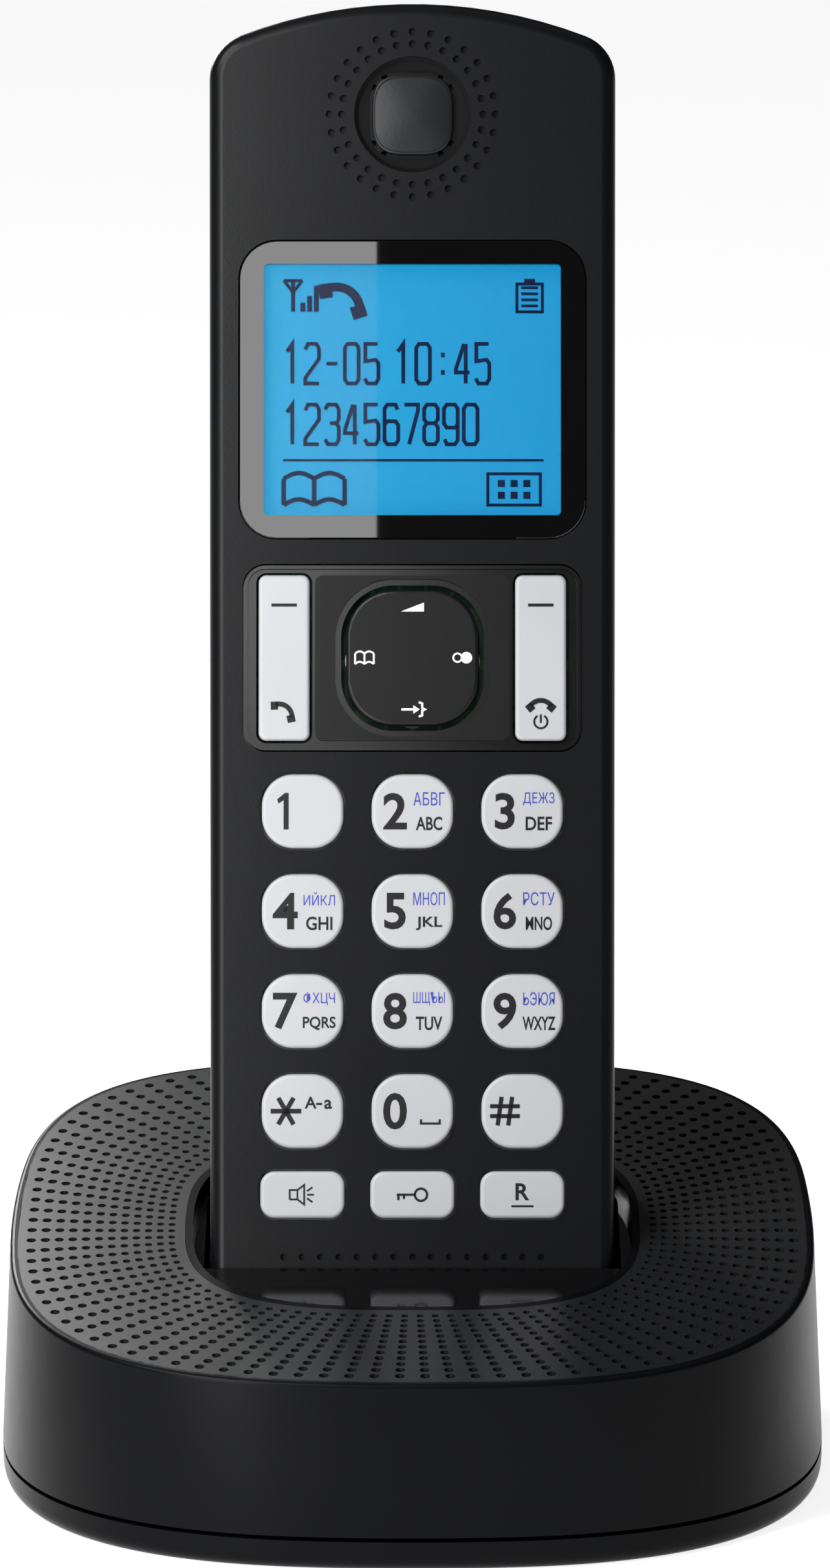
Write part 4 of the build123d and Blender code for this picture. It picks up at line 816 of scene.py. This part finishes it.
def woven(name, colour, pitch):
    """Fine woven cloth: crossed threads as bump at the thread's pitch."""
    material = moulded(name, colour, 0.8, mottle=0.2, specular=0.15)
    nodes, links = material.node_tree.nodes, material.node_tree.links
    place = next(n for n in nodes if n.type == "TEX_COORD")
    threads = nodes.new("ShaderNodeTexChecker")
    threads.inputs["Scale"].default_value = 1 / pitch
    links.new(place.outputs["Object"], threads.inputs["Vector"])
    bump = nodes.new("ShaderNodeBump")
    bump.inputs["Strength"].default_value = 0.6
    bump.inputs["Distance"].default_value = pitch / 4
    links.new(threads.outputs["Fac"], bump.inputs["Height"])
    links.new(bump.outputs["Normal"], nodes["Principled BSDF"].inputs["Normal"])
    return material


dust_black = woven("dust_cloth_black", (0.0035, 0.0035, 0.004), 0.15 * MM)
cloth_radii = (DISH_RADIUS, DISH_RADIUS, DISH_RADIUS - 0.5 * MM, HUB_HALF * 1.1, HUB_HALF * 1.1)
cloth_heights = (-0.88 * MM, -0.08 * MM, -0.72 * MM, -0.80 * MM, -0.88 * MM)
cloth_roundness = (2, 2, 2, HUB_ROUNDNESS, HUB_ROUNDNESS)
cloth_loops = [
    on_face(superellipse(radius, radius, bend, hub_angles), ear_along, face_out + height)
    for radius, height, bend in zip(cloth_radii, cloth_heights, cloth_roundness)
]
dust_cloth = stack_of_loops("earpiece_dust_cloth", cloth_loops[::-1], (dust_black,), closed=True)
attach(dust_cloth, "handset")

# ---------------------------------------------------------------------------
# Inside the handset: the keypad's rubber sheet, the receiver, microphone and ringer, and two
# wrapped cells between their spring contacts.
keypad_rubber = moulded("keypad_rubber", (0.16, 0.165, 0.17), 0.75, grain=0.3, specular=0.3)
dress(keypad_rubber, "keypad_sheet", "microphone_boot", "earpiece_gasket")
driver_black = moulded("driver_black", (0.02, 0.02, 0.022), 0.45, grain=0.2)
dress(driver_black, "earpiece_speaker", "ringer_speaker", "microphone")
cell_wrap = moulded("cell_wrap", (0.05, 0.22, 0.32), 0.28, mottle=0.15, coat=0.3)
dress(cell_wrap, "battery_cells")

# ---------------------------------------------------------------------------
# The floor, the studio lights and the camera.
FLOOR_HALF = 6.0
FLOOR_STEPS = 3
CAMERA_DISTANCE = 1.0
CAMERA_HEIGHT_ANGLE = radians(12.46)
FRAME_MIDDLE = Vector((0.0003, 0, 0.08178))
LENS, SENSOR_HEIGHT = 195.2, 36
FLOOR_GLOW = 0.85
WORLD_GLOW = 0.04
KEY_EDGE_X = -0.011              # right edge of the front glint, mirrored in the window
GLINT_WIDTH = 0.12

span = np.linspace(-FLOOR_HALF, FLOOR_HALF, FLOOR_STEPS)
floor_x, floor_y = np.meshgrid(span, span)
floor_points = np.dstack([floor_x, floor_y, np.zeros_like(floor_x)]).reshape(-1, 3)
floor_white = moulded("floor_white", (0.60, 0.60, 0.60), 0.9, mottle=0.01, specular=0.0)
floor_shader = floor_white.node_tree.nodes["Principled BSDF"]
floor_shader.inputs["Emission Color"].default_value = (1, 1, 1, 1)
floor_shader.inputs["Emission Strength"].default_value = FLOOR_GLOW
floor = mesh_object(
    "floor", floor_points, grid_faces(FLOOR_STEPS, FLOOR_STEPS, closed_columns=False)[:, ::-1], (floor_white,)
)


def softbox(name, middle, aim, width, height, radiance):
    """A rectangular light facing from its middle towards aim, even all over."""
    light = bpy.data.lights.new(name, "AREA")
    light.shape = "RECTANGLE"
    light.size, light.size_y = width, height
    light.energy = radiance * pi * width * height
    lamp = bpy.data.objects.new(name, light)
    lamp.location = middle
    lamp.rotation_euler = (Vector(aim) - Vector(middle)).to_track_quat("-Z", "Y").to_euler()
    lamp.visible_camera = False
    bpy.context.scene.collection.objects.link(lamp)
    return lamp


glint_x = KEY_EDGE_X - GLINT_WIDTH / 2
softbox("window_glint", (glint_x, -1.4, 0.64), (glint_x, 0, 0.12), GLINT_WIDTH, 0.22, 6.2)
softbox("face_light", (-0.60, -0.50, 0.95), (0, 0, 0.10), 0.5, 0.5, 10.5)
softbox("left_strip", (-0.062, -0.115, 0.135), (-0.012, 0.01, 0.098), 0.04, 0.30, 9.5)
softbox("ring_sheen", (-0.15, 0.31, 0.23), (-0.03, 0, 0.03), 0.13, 0.12, 21.0)
softbox("overhead", (0, 0.2, 1.7), (0, 0, 0), 1.6, 1.6, 0.3)
world = bpy.data.worlds.new("studio")
bpy.context.scene.world = world
world.use_nodes = True
world.node_tree.nodes["Background"].inputs["Color"].default_value = (1, 1, 1, 1)
world.node_tree.nodes["Background"].inputs["Strength"].default_value = WORLD_GLOW

bpy.context.scene.view_settings.view_transform = "Standard"
camera = bpy.data.cameras.new("camera")
camera.lens = LENS
camera.sensor_fit = "VERTICAL"
camera.sensor_height = SENSOR_HEIGHT
view = bpy.data.objects.new("camera", camera)
towards = Vector((0, -cos(CAMERA_HEIGHT_ANGLE), sin(CAMERA_HEIGHT_ANGLE)))
view.location = FRAME_MIDDLE + CAMERA_DISTANCE * towards
view.rotation_euler = (-towards).to_track_quat("-Z", "Y").to_euler()
bpy.context.scene.collection.objects.link(view)
bpy.context.scene.camera = view
